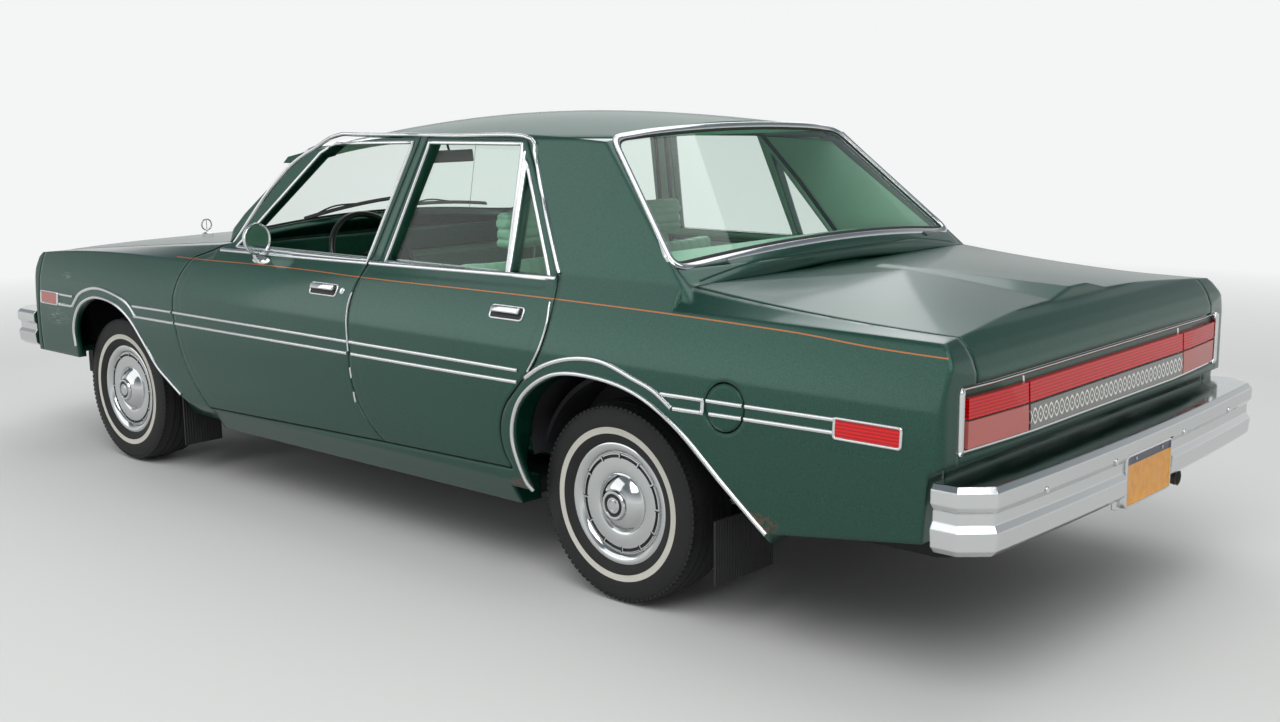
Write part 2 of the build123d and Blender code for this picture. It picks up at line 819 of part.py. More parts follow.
with BuildPart() as firewall:
    add(cowl_skin.part)
    with BuildSketch(Plane.XZ):
        with BuildLine():
            Polyline(
                (firewall_back_x, 800),
                (firewall_x, 800),
                (firewall_x, 905),
                (960, 905),
                (960, 975),
                (cowl_x - 25, 975),
                (cowl_x - 25, 880),
                (firewall_back_x, 880),
                close=True,
            )
        make_face()
    extrude(amount=hood_half - 15, both=True)
    with Locations((firewall_x, 0, floor_low)):
        Box(firewall_wall, 2 * 790, 880 - floor_low, align=(Align.MAX, Align.CENTER, Align.MIN))
        Box(100, 2 * (tunnel_half - sheet), tunnel_top - sheet - floor_low,
            align=(Align.CENTER, Align.CENTER, Align.MIN), mode=Mode.SUBTRACT)
    add(hood_pads(firewall_x - firewall_wall / 2, 500, 850))
save(firewall.part, "firewall")

rail_low = 300

# Floor pan with tunnel, kick-up, boot floor and wheelhouses
floor_back_x = -960
boot_low = 430
boot_back_x = tail_front_x
open_below = (Align.CENTER, Align.CENTER, Align.MAX)
with BuildPart() as floor_pan:
    with BuildSketch(Plane.XZ):
        with BuildLine():
            Polyline(
                (firewall_back_x, floor_low),
                (floor_back_x, floor_low),
                (floor_back_x - 60, boot_low),
                (boot_back_x, boot_low),
                (boot_back_x, boot_low + sheet),
                (floor_back_x - 38, boot_low + sheet),
                (floor_back_x + 18, floor_top),
                (firewall_back_x, floor_top),
                close=True,
            )
        make_face()
    extrude(amount=trunk_half, both=True)
    with BuildSketch(Plane.YZ.offset(floor_back_x - 50)) as tunnel:
        with Locations((0, floor_low)):
            Rectangle(2 * tunnel_half, tunnel_top - floor_low, align=(Align.CENTER, Align.MIN))
        fillet(tunnel.vertices().group_by(Axis.Y)[-1], 60)
    extrude(amount=firewall_back_x - floor_back_x + 50)
    with BuildSketch(Plane.YZ.offset(floor_back_x - 100)):
        with Locations((0, tunnel_top - sheet)):
            Rectangle(2 * (tunnel_half - sheet), 200, align=(Align.CENTER, Align.MAX))
    extrude(amount=firewall_x - floor_back_x + 200, mode=Mode.SUBTRACT)
    for side in (-1, 1):
        with BuildSketch(Plane.XZ.offset(-side * (wheelhouse_inner_y - 15))):
            with Locations((rear_axle_x, tyre_radius)):
                Circle(wheelhouse_radius - seat_clearance)
        extrude(amount=-side * (trunk_half + 15 - wheelhouse_inner_y))
        with BuildSketch(Plane.XZ.offset(-side * wheelhouse_inner_y)):
            with Locations((rear_axle_x, tyre_radius)):
                Circle(wheelhouse_radius - 15)
        extrude(amount=-side * 400, mode=Mode.SUBTRACT)
        with Locations((rear_axle_x, side * (wheelhouse_inner_y + 184), boot_low - 20)):
            Box(2 * wheelhouse_radius + 20, 400, 500, align=open_below, mode=Mode.SUBTRACT)
save(floor_pan.part, "floor_pan")

# Parcel shelf, seat bulkhead and the strip below the rear window
shelf_front_x = -1060
shelf_z = 958
bulkhead_half = 600
with BuildPart() as rear_shelf:
    with BuildSketch(Plane.XY.offset(850)):
        with Locations((rear_side_split_x, 0)):
            Rectangle(strip_depth, 2 * (trunk_half - seat_clearance), align=(Align.MIN, Align.CENTER))
    extrude(amount=strip_top - 850 - seat_clearance)
    add(outer_form, mode=Mode.INTERSECT)
    add(lower_panel, mode=Mode.SUBTRACT)
    add(cabin_form(frame_depth), mode=Mode.SUBTRACT)
    add(back_hole.part, mode=Mode.SUBTRACT)
with BuildPart() as lid_pads:
    for side in (-1, 1):
        with Locations((rear_side_split_x + 2, side * 600, shelf_z)):
            Box(50, 40, 60, align=(Align.MAX, Align.CENTER, Align.MIN))
    add(lower_rest, mode=Mode.INTERSECT)
with BuildPart() as shelf:
    add(rear_shelf.part)
    with Locations((rear_side_split_x, 0, shelf_z)):
        Box(shelf_front_x - rear_side_split_x, 2 * 700, 24, align=(Align.MIN, Align.CENTER, Align.MIN))
    with Locations((shelf_front_x, 0, boot_low + sheet)):
        Box(18, 2 * bulkhead_half, shelf_z - boot_low - sheet, align=(Align.MAX, Align.CENTER, Align.MIN))
    add(lid_pads.part)
save(shelf.part, "rear_shelf")

# Engine bay: inner aprons, rails and radiator support
rail_in = 440
rail_out = 480
rail_high = 390
bay_front_x = fender_front_x + panel_gap - 40 - seat_clearance
with BuildPart() as engine_bay:
    for side in (-1, 1):
        with Locations((firewall_x, side * (rail_in + rail_out) / 2, rail_low)):
            Box(bay_front_x + 40 - firewall_x, rail_out - rail_in, rail_high - rail_low,
                align=(Align.MIN, Align.CENTER, Align.MIN))
        with Locations((firewall_x, side * (rail_in + 8), rail_high)):
            Box(bay_front_x - firewall_x, 16, 390, align=(Align.MIN, Align.CENTER, Align.MIN))
    with Locations((bay_front_x, 0, rail_low)):
        Box(40, 2 * hood_half, 500, align=(Align.MIN, Align.CENTER, Align.MIN))
    with Locations((bay_front_x, 0, rail_high + 20)):
        Box(200, 2 * 330, 340, align=(Align.CENTER, Align.CENTER, Align.MIN), mode=Mode.SUBTRACT)
    with Locations((front_axle_x, 0, rail_high)):
        Box(200, 2 * (rail_out + 10), 90, align=(Align.CENTER, Align.CENTER, Align.MIN), mode=Mode.SUBTRACT)
    add(hood_pads(bay_front_x + 20, 450, 780))
save(engine_bay.part, "engine_bay")

engine_back_x = 1190
with BuildPart() as engine:
    with Locations((engine_back_x, 0, 350)):
        Box(760, 300, 500, align=(Align.MIN, Align.CENTER, Align.MIN))
    with Locations((engine_back_x + 240, 0, 350)):
        Box(50, 2 * (rail_in - seat_clearance), 30, align=(Align.CENTER, Align.CENTER, Align.MIN))
save(engine.part, "engine")

# Bumpers: pressed channels with a closed top, on two arms each. Rows: height share, inset of the face
bumper_wall = 24
bumper_top = 10
bumper_corner = 68
bumper_rows = [(0, 22), (0.1, 4), (0.36, 0), (0.46, 11), (0.62, 11), (0.72, 0), (0.92, 0), (1, 12)]
arm_y = 400
arm_size = 60


def bumper_plan(ends, inset, z):
    face_x, corner_x, wrap_x, direction = ends
    side_y = half_width - inset
    bend_x = corner_x - direction * (75 + inset / 2)
    edge_x = corner_x - direction * inset
    turn = half_width - bumper_corner - inset / 2
    with BuildSketch(Plane.XY.offset(z)) as outline:
        with BuildLine():
            left = Polyline((wrap_x, side_y), (bend_x, side_y), (edge_x, turn))
            face = ThreePointArc(left @ 1, (face_x - direction * inset, 0), (edge_x, -turn))
            Polyline(face @ 1, (bend_x, -side_y), (wrap_x, -side_y), left @ 0)
        make_face()
    return outline.sketch


def bumper(ends, low_z, high_z):
    face_x, corner_x, wrap_x, direction = ends
    tall = high_z - low_z
    inner = (face_x, corner_x, wrap_x - direction * 60, direction)
    arm_end = Align.MIN if direction < 0 else Align.MAX
    with BuildPart() as bar:
        loft([bumper_plan(ends, inset, low_z + share * tall) for share, inset in bumper_rows], ruled=True)
        extrude(bumper_plan(inner, bumper_wall, low_z - 1), amount=tall + 1 - bumper_top, mode=Mode.SUBTRACT)
        for side in (-1, 1):
            with Locations((corner_x - direction * 3, side * arm_y, low_z + tall / 2 - 10)):
                Box(170, arm_size, arm_size, align=(arm_end, Align.CENTER, Align.CENTER))
        add(lower_seat, mode=Mode.SUBTRACT)
    return bar.part


save(bumper((end_x, 2532, 2300, 1), 440, 600), "front_bumper")

# The rear bumper holds the number plate in a pocket with two screw holes
plate_half = 158
plate_low = 385
plate_high = 545
plate_face_x = -2530
plate_screw_y = 89
plate_screw_z = 528
plate_screw_radius = 3.5
with BuildPart() as rear_bumper:
    add(bumper((-end_x, -2530, -2380, -1), 412, 592))
    with Locations((plate_face_x, 0, plate_low)):
        Box(14, 2 * plate_half + 24, plate_high + 12 - plate_low, align=(Align.MIN, Align.CENTER, Align.MIN))
        pocket_align = (Align.MAX, Align.CENTER, Align.MIN)
        Box(100, 2 * plate_half, plate_high - plate_low, align=pocket_align, mode=Mode.SUBTRACT)
    with BuildSketch(Plane.YZ.offset(-end_x)):
        with Locations((-plate_screw_y, plate_screw_z), (plate_screw_y, plate_screw_z)):
            Circle(plate_screw_radius)
    extrude(amount=end_x + plate_face_x + 40, mode=Mode.SUBTRACT)
save(rear_bumper.part, "rear_bumper")

# Seats: benches with separate head restraints
with BuildPart() as front_seat:
    with BuildSketch(Plane.XZ):
        with BuildLine():
            Polyline(
                (190, floor_top + 60),
                (220, 440),
                (190, 490),
                (-150, 455),
                (-330, 985),
                (-410, 1000),
                (-430, 960),
                (-320, 420),
                (-300, floor_top + 60),
                close=True,
            )
        make_face()
    extrude(amount=690, both=True)
    with Locations((-70, 0, floor_top + seat_clearance)):
        Box(380, 2 * 500, 70, align=(Align.CENTER, Align.CENTER, Align.MIN))
    Box(3000, 2 * tunnel_half + 4, 2 * (tunnel_top + 2), mode=Mode.SUBTRACT)
    for side in (-1, 1):
        with Locations((-372, side * 350, 1075)):
            Box(100, 270, 150)
        with Locations((-375, side * 350, 1000)):
            Box(14, 60, 60)
    for side in (-1, 1):
        pad = front_seat.edges().filter_by(lambda e: e.center().Z > 1005)
        pad = pad.filter_by(lambda e: e.center().Y * side > 200)
        fillet(pad, 20)
save(front_seat.part, "front_seat")

with BuildPart() as rear_seat:
    with BuildSketch(Plane.XZ):
        with BuildLine():
            Polyline(
                (-480, floor_top + seat_clearance),
                (-460, 440),
                (-490, 490),
                (-830, 455),
                (-965, 935),
                (-1040, 950),
                (shelf_front_x + seat_clearance, 900),
                (shelf_front_x + seat_clearance, 470),
                (floor_back_x + 20, 455),
                (floor_back_x + 20, floor_top + seat_clearance),
                close=True,
            )
        make_face()
    extrude(amount=bulkhead_half, both=True)
    with Locations((-800, 0, 300)):
        Box(700, 2 * tunnel_half + 4, 2 * (tunnel_top - 298), mode=Mode.SUBTRACT)
save(rear_seat.part, "rear_seat")

# Dashboard with the steering column
wheel_x = 495
wheel_y = 370
wheel_z = 915
column_tilt = 25
column_dir = (-cos(radians(column_tilt)), 0, sin(radians(column_tilt)))
column_plane = Plane(origin=(wheel_x, wheel_y, wheel_z), x_dir=(0, 1, 0), z_dir=column_dir)
steering_shaft = 9
hub_length = 60
dash_front_x = firewall_back_x - seat_clearance
with BuildPart() as dashboard:
    with BuildSketch(Plane.XZ):
        with BuildLine():
            Polyline(
                (dash_front_x, 860),
                (dash_front_x, 640),
                (900, 640),
                (760, 680),
                (715, 800),
                (740, 870),
                (860, 879),
                close=True,
            )
        make_face()
    extrude(amount=750, both=True)
    with BuildSketch(column_plane.offset(-hub_length / 2 - 5)):
        Circle(32)
    extrude(amount=-480)
    with BuildSketch(column_plane.offset(hub_length / 2)):
        Circle(steering_shaft)
    extrude(amount=-hub_length - 20)
    with Locations((dash_front_x, 0, 0)):
        Box(500, 2 * reach, 3000, align=(Align.MIN, Align.CENTER, Align.CENTER), mode=Mode.SUBTRACT)
save(dashboard.part, "dashboard")
steering_radius = 188
with BuildPart() as steering_wheel:
    with BuildSketch(column_plane.offset(-hub_length / 2)):
        Circle(34)
    extrude(amount=hub_length)
    with BuildSketch(column_plane.offset(-8)):
        Rectangle(2 * steering_radius, 34)
    extrude(amount=16)
    rim_start = column_plane.origin + column_plane.y_dir * steering_radius
    with BuildSketch(Plane(origin=rim_start, x_dir=column_plane.z_dir, z_dir=column_plane.x_dir)):
        Circle(12)
    revolve(axis=Axis(column_plane.origin, column_plane.z_dir))
    with BuildSketch(column_plane.offset(-hub_length)):
        Circle(steering_shaft + bearing_clearance)
    extrude(amount=2 * hub_length, mode=Mode.SUBTRACT)
save(steering_wheel.part, "steering_wheel")

# Front suspension: cross member, wishbones with ball joints
post_low = 226
post_high = 402
# Wishbones, each: low z, high z, half spread at the frame
wishbone_rows = [(200, post_low - seat_clearance, 150), (post_high + seat_clearance, 430, 90)]
with BuildPart() as front_suspension:
    with Locations((front_axle_x, 0, rail_low - seat_clearance)):
        Box(170, 2 * rail_out, 75, align=(Align.CENTER, Align.CENTER, Align.MAX))
    for side in (-1, 1):
        with Locations((front_axle_x, side * 400, 225)):
            Box(90, 60, 205, align=(Align.CENTER, Align.CENTER, Align.MIN))
        for low_z, high_z, spread in wishbone_rows:
            with BuildSketch(Plane.XY.offset(low_z)):
                with BuildLine():
                    Polyline(
                        (front_axle_x - spread, side * 380),
                        (front_axle_x + spread, side * 380),
                        (front_axle_x + 22, side * kingpin_y),
                        (front_axle_x - 22, side * kingpin_y),
                        close=True,
                    )
                make_face()
                with Locations((front_axle_x, side * kingpin_y)):
                    Circle(30)
            extrude(amount=high_z - low_z)
save(front_suspension.part, "front_suspension")

hub_in = 40
hub_out = 20


def knuckle():
    with BuildPart() as upright:
        with Locations((front_axle_x, kingpin_y, post_low)):
            Box(48, 40, post_high - post_low, align=(Align.CENTER, Align.CENTER, Align.MIN))
        spindle_plane = Plane((front_axle_x, kingpin_y, tyre_radius), x_dir=(1, 0, 0), z_dir=(0, 1, 0))
        with BuildSketch(spindle_plane):
            Circle(34)
        extrude(amount=front_wheel_y - hub_in - 2 - kingpin_y)
        with BuildSketch(spindle_plane):
            Circle(spindle_radius)
        extrude(amount=front_wheel_y + hub_out - kingpin_y)
        with BuildSketch(spindle_plane.offset(20)):
            Circle(82)
        extrude(amount=6)
    return upright.part


save_pair(knuckle(), "knuckle")


# Wheels with dished covers, and plain tyres
cover_slots = 12
# The cover's face from its middle out, each row: distance out of the wheel's middle, radius
cover_profile = [(46, 0), (52, 20), (40, 38), (38, 60), (44, 92), (52, 110), (48, 150), (62, 168)]


def wheel_plane(x, y):
    return Plane(origin=(x, y, tyre_radius), x_dir=(0, 1, 0), z_dir=(1, 0, 0))


def road_wheel(x, y):
    with BuildPart() as wheel:
        with BuildSketch(wheel_plane(x, y)):
            with BuildLine():
                Polyline(
                    (-hub_in, spindle_radius + bearing_clearance),
                    (hub_out + 6, spindle_radius + bearing_clearance),
                    (hub_out + 6, 0),
                    *cover_profile,
                    (72, rim_radius - seat_clearance),
                    (-80, rim_radius - seat_clearance),
                    (-80, 166),
                    (-20, 160),
                    (0, 140),
                    (12, 66),
                    (-hub_in, 62),
                    close=True,
                )
            make_face()
        revolve(axis=Axis((x, y, tyre_radius), (0, 1, 0)))
        with BuildSketch(Plane(origin=(x, y + 44, tyre_radius), x_dir=(1, 0, 0), z_dir=(0, 1, 0))):
            with PolarLocations(130, cover_slots):
                Rectangle(26, 14)
        extrude(amount=30, mode=Mode.SUBTRACT)
    return wheel.part


def tyre(x, y):
    half = tyre_width / 2
    with BuildPart() as rubber:
        with BuildSketch(wheel_plane(x, y)):
            with BuildLine():
                left = Polyline((half - 22, rim_radius), (22 - half, rim_radius))
                wall = ThreePointArc(left @ 1, (-half, 250), (12 - half, 300))
                tread = ThreePointArc(wall @ 1, (0, tyre_radius), (half - 12, 300))
                ThreePointArc(tread @ 1, (half, 250), left @ 0)
            make_face()
        revolve(axis=Axis((x, y, tyre_radius), (0, 1, 0)))
    return rubber.part


for end, x, y in (("front", front_axle_x, front_wheel_y), ("rear", rear_axle_x, rear_wheel_y)):
    save_pair(road_wheel(x, y), f"wheel_{end}")
    save_pair(tyre(x, y), f"tyre_{end}")

# Rear axle on leaf springs, with the propeller shaft
spring_y = 560
pinion_z = 330
axle_ball_radius = 112
with BuildPart() as rear_axle:
    axle_plane = Plane((rear_axle_x, 0, tyre_radius), x_dir=(1, 0, 0), z_dir=(0, 1, 0))
    with BuildSketch(axle_plane):
        Circle(38)
    extrude(amount=rear_wheel_y - hub_in - 2, both=True)
    with BuildSketch(axle_plane):
        Circle(spindle_radius)
    extrude(amount=rear_wheel_y + hub_out, both=True)
    with Locations((rear_axle_x, 0, tyre_radius)):
        Sphere(axle_ball_radius)
    with BuildSketch(Plane.YZ.offset(rear_axle_x)):
        with Locations((0, pinion_z)):
            Circle(36)
    extrude(amount=engine_back_x - seat_clearance - rear_axle_x)
    for side in (-1, 1):
        with Locations((rear_axle_x, side * spring_y, tyre_radius - 30)):
            Box(110, 70, 60, align=(Align.CENTER, Align.CENTER, Align.CENTER))
        with BuildSketch(Plane.XZ.offset(-side * spring_y)):
            with BuildLine():
                top = ThreePointArc((-640, floor_low - seat_clearance - 6), (rear_axle_x, 262), (-1900, 380))
                Line(top @ 1, (-1900, 362))
                low = ThreePointArc((-1900, 362), (rear_axle_x, 236), (-640, floor_low - 24))
                Line(low @ 1, top @ 0)
            make_face()
        extrude(amount=32, both=True)
        with Locations((-1890, side * spring_y, 370)):
            Box(30, 50, boot_low - 370 - seat_clearance, align=(Align.CENTER, Align.CENTER, Align.MIN))
        with Locations((-650, side * spring_y, floor_low - 30)):
            Box(50, 50, 30 - seat_clearance, align=(Align.CENTER, Align.CENTER, Align.MIN))
save(rear_axle.part, "rear_axle")

# Exhaust, fuel tank and mud flaps
pipe_radius = 22
pipe_start_y = -150 - pipe_radius - seat_clearance
pipe_route = [
    (1390, pipe_start_y, 430),
    (1240, pipe_start_y, 430),
    (1190, -200, 235),
    (-1010, -215, 235),
    (-1130, -260, 392),
    (-1420, -320, 392),
    (-1640, -345, 330),
    (-1700, -345, 330),
]
tail_route = [(-2140, -345, 330), (-2300, -341, 372), (-2500, -341, 372)]
with BuildPart() as exhaust:
    for route in (pipe_route, tail_route):
        with BuildLine() as path:
            FilletPolyline(*route, radius=60)
        start = path.line @ 0
        with BuildSketch(Plane(origin=start, z_dir=path.line % 0)):
            Circle(pipe_radius)
        sweep(path=path.line)
    with BuildSketch(Plane.YZ.offset(-2150)):
        with Locations((-345, 330)):
            Ellipse(105, 62)
    extrude(amount=460)
save(exhaust.part, "exhaust")
with BuildPart() as fuel_tank:
    with Locations((-1990, 165, boot_low - seat_clearance)):
        Box(440, 700, 170, align=(Align.CENTER, Align.CENTER, Align.MAX))
    fillet(fuel_tank.edges().filter_by(Axis.Z), 60)
save(fuel_tank.part, "fuel_tank")
with BuildPart() as mud_flaps:
    for side in (-1, 1):
        with BuildSketch(Plane.YZ.offset(-1672)):
            with Locations((side * 660, boot_low - seat_clearance)):
                Rectangle(100, 270, align=(Align.CENTER, Align.MAX))
            with Locations((side * 760, 350)):
                Rectangle(240, 190, align=(Align.CENTER, Align.MAX))
        extrude(amount=8)
        with BuildSketch(Plane.YZ.offset(firewall_x + seat_clearance)):
            with Locations((side * 783, 380)):
                Rectangle(170, 240, align=(Align.CENTER, Align.MAX))
        extrude(amount=8)
save(mud_flaps.part, "mud_flaps")

# Door mirror on the left door
mirror_x = 560
with BuildPart() as door_mirror:
    with BuildSketch(Plane.YZ.offset(mirror_x - 8)):
        with Locations((858, 1024)):
            Ellipse(58, 62)
    extrude(amount=16)
    with Locations((mirror_x + 8, 858, 1024)):
        Sphere(54)
    with Locations((mirror_x - 8, 0, 0)):
        Box(200, 2 * reach, 3000, align=(Align.MAX, Align.CENTER, Align.CENTER), mode=Mode.SUBTRACT)
    with Locations((mirror_x + 30, 815, 935)):
        Box(110, 60, 45, align=(Align.CENTER, Align.CENTER, Align.MIN))
    with Locations((mirror_x + 15, 835, 950)):
        Box(30, 26, 60, align=(Align.CENTER, Align.CENTER, Align.MIN))
    add(lower_seat, mode=Mode.SUBTRACT)
    Box(3000, 2 * 700, 3000, mode=Mode.SUBTRACT)
save(door_mirror.part, "door_mirror")
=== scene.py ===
import json
import bmesh
import bpy
from math import atan2, cos, exp, pi, radians, sin
from mathutils import Matrix, Vector
from mathutils.bvhtree import BVHTree

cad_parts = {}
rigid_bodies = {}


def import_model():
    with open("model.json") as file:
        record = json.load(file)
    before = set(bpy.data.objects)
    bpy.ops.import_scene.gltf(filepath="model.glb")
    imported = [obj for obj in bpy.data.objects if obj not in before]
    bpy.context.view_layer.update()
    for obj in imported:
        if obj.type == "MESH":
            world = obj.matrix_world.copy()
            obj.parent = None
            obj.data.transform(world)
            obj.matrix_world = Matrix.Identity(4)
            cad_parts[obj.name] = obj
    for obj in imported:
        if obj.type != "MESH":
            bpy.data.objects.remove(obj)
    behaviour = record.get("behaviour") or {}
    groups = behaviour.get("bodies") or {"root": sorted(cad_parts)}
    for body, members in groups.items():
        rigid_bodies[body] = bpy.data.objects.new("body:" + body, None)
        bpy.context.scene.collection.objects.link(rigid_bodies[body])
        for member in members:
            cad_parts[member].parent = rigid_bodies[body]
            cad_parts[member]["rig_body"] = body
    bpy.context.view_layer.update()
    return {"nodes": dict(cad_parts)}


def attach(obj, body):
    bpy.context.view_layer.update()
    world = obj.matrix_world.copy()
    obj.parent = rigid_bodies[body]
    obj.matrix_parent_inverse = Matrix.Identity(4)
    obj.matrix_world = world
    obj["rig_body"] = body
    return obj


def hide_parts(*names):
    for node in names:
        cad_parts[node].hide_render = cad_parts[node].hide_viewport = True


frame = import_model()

nodes = frame["nodes"]
sides = (("left", 1), ("right", -1))
wheelCentres = {"front": 1.618, "rear": -1.245}
wheelSpots = {"front": 0.762, "rear": 0.740}
axleHeight = 0.314
down = Vector((0, 0, -1))
forward = Vector((1, 0, 0))


# Colours and materials

def linearColour(hexCode):
    channels = []
    for start in (0, 2, 4):
        value = int(hexCode[start:start + 2], 16) / 255
        channels.append(value / 12.92 if value <= 0.04045 else ((value + 0.055) / 1.055) ** 2.4)
    return (*channels, 1.0)


def feed(node, key, value):
    if isinstance(value, (Field, bpy.types.NodeSocket)):
        node.id_data.links.new(getattr(value, "socket", value), node.inputs[key])
    else:
        node.inputs[key].default_value = linearColour(value) if isinstance(value, str) else value


def addNode(owner, kind, inputs=None, **settings):
    node = getattr(owner, "node_tree", owner).nodes.new(kind)
    for key, value in settings.items():
        setattr(node, key, value)
    for key, value in (inputs or {}).items():
        feed(node, key, value)
    return node


def reckon(operation, *values):
    tree = next(value.socket.id_data for value in values if isinstance(value, Field))
    return Field(addNode(tree, "ShaderNodeMath", dict(enumerate(values)), operation=operation).outputs[0])


class Field:
    # A value in a node tree, so that masks and patterns are written as plain arithmetic
    def __init__(self, socket):
        self.socket = socket

    def __add__(self, other):
        return reckon("ADD", self, other)

    def __sub__(self, other):
        return reckon("SUBTRACT", self, other)

    def __rsub__(self, other):
        return reckon("SUBTRACT", other, self)

    def __mul__(self, other):
        return reckon("MULTIPLY", self, other)

    def __truediv__(self, other):
        return reckon("DIVIDE", self, other)

    def __rtruediv__(self, other):
        return reckon("DIVIDE", other, self)

    def __pow__(self, other):
        return reckon("POWER", self, other)

    def __lt__(self, other):
        return reckon("LESS_THAN", self, other)

    def __gt__(self, other):
        return reckon("GREATER_THAN", self, other)

    def __abs__(self):
        return reckon("ABSOLUTE", self)

    def spread(self, low, high, fromLow=0.0, fromHigh=1.0):
        inputs = {"Value": self, "From Min": fromLow, "From Max": fromHigh, "To Min": low, "To Max": high}
        return Field(addNode(self.socket.id_data, "ShaderNodeMapRange", inputs).outputs["Result"])

    def mix(self, first, second):
        # The numbers are the colour sockets of a Mix node: its factor, its first and its second colour
        inputs = {0: self, 6: first, 7: second}
        return Field(addNode(self.socket.id_data, "ShaderNodeMix", inputs, data_type="RGBA").outputs[2])


def blankMaterial(name, hexCode):
    material = bpy.data.materials.new(name)
    material.use_nodes = True
    material.node_tree.nodes.clear()
    material.diffuse_color = linearColour(hexCode)
    return material


def newMaterial(name, hexCode, metallic=0.0, roughness=0.5, coat=0.0, coatRoughness=0.04):
    material = blankMaterial(name, hexCode)
    shader = addNode(material, "ShaderNodeBsdfPrincipled", {
        "Base Color": hexCode, "Metallic": metallic, "Roughness": roughness, "Coat Weight": coat,
        "Coat Roughness": coatRoughness})
    addNode(material, "ShaderNodeOutputMaterial", {"Surface": shader.outputs["BSDF"]})
    return material, shader


def objectPlace(material):
    return addNode(material, "ShaderNodeTexCoord").outputs["Object"]


def splitPlace(material):
    parts = addNode(material, "ShaderNodeSeparateXYZ", {"Vector": objectPlace(material)}).outputs
    return [Field(part) for part in parts]


def noiseField(material, millimetres, detail=3.0):
    return Field(addNode(material, "ShaderNodeTexNoise", {
        "Vector": objectPlace(material), "Scale": 1000.0 / millimetres, "Detail": detail,
        "Roughness": 0.55}).outputs["Fac"])


def waveField(place, metres):
    return reckon("SINE", place * (2 * pi / metres))


def addBump(shader, height, strength, millimetres):
    bump = addNode(shader.id_data, "ShaderNodeBump", {
        "Height": height, "Strength": strength, "Distance": millimetres / 1000})
    feed(shader, "Normal", bump.outputs["Normal"])
    return bump


def roundCreases(shader, bump, radius):
    # Light rolls over the pressed creases as it does on real sheet metal
    rolled = addNode(shader.id_data, "ShaderNodeBevel", {"Radius": radius}, samples=5).outputs["Normal"]
    feed(bump, "Normal", rolled)
    feed(shader, "Coat Normal", rolled)


# Metallic enamel: deep green basecoat under clear lacquer, with an orange-brown coach line along the flanks
paint = {"green": "125443", "deepGreen": "0a3026", "coachLine": "a8622f", "rust": "54301b", "scuff": "8da598",
         "trimLight": "a9d2b8", "trimDark": "8cb89e", "shelfLight": "b9dcc6", "shelfDark": "9cc4aa",
         "creaseRound": 0.018, "flake": 2.2, "cloud": 420, "shelfTop": 0.9845, "flankFrom": 0.82, "facesIn": -0.35}
coachLine = {"width": 0.0035, "low": 0.88, "high": 0.94, "reach": 2.6, "front": 1.17, "back": -2.386, "rows": [
    (-2.386, 0.896), (-1.864, 0.915), (-1.021, 0.926), (-0.049, 0.923), (0.332, 0.926), (1.166, 0.917)]}
# Wear on the flanks, each: x, z, reach in x, reach in z
rustSpots = [(-1.845, 0.385, 0.075, 0.035), (-0.905, 0.330, 0.060, 0.030), (1.140, 0.355, 0.050, 0.025)]
scuffSpots = [(2.060, 0.600, 0.120, 0.050), (1.985, 0.785, 0.060, 0.020)]


def coachLineMask(x, z):
    # The curve node takes the place along the car, and gives the line's height, both as shares from 0 to 1
    low, tall, reach = coachLine["low"], coachLine["high"] - coachLine["low"], coachLine["reach"]
    curve = addNode(x.socket.id_data, "ShaderNodeFloatCurve", {"Value": (x + reach) / (2 * reach)})
    points = curve.mapping.curves[0].points
    rows = [((rowX + reach) / (2 * reach), (rowZ - low) / tall) for rowX, rowZ in coachLine["rows"]]
    points[0].location = (0.0, rows[0][1])
    points[1].location = (1.0, rows[-1][1])
    for row in rows:
        points.new(*row)
    curve.mapping.update()
    middle = Field(curve.outputs["Value"]) * tall + low
    near = abs(z - middle) < coachLine["width"] / 2
    return near * (x < coachLine["front"]) * (x > coachLine["back"])


def spotMask(x, z, spots):
    total = None
    for spotX, spotZ, reachX, reachZ in spots:
        dx, dz = (x - spotX) / reachX, (z - spotZ) / reachZ
        near = (dx * dx + dz * dz).spread(1.0, 0.0, 0.1, 1.0)
        total = near if total is None else reckon("MAXIMUM", total, near)
    return total


def cabinMask(x, z):
    # Where the cabin's trim covers the walls: ahead of the rear arch, and above it as far as the rear window
    aheadOfArch = x > -0.93
    aboveArch = (z > 0.75) * (x > -1.38)
    belowGlass = (x + z * -1.135) > -2.570
    return reckon("MAXIMUM", aheadOfArch, aboveArch) * (z > 0.37) * (x < 1.10) * belowGlass


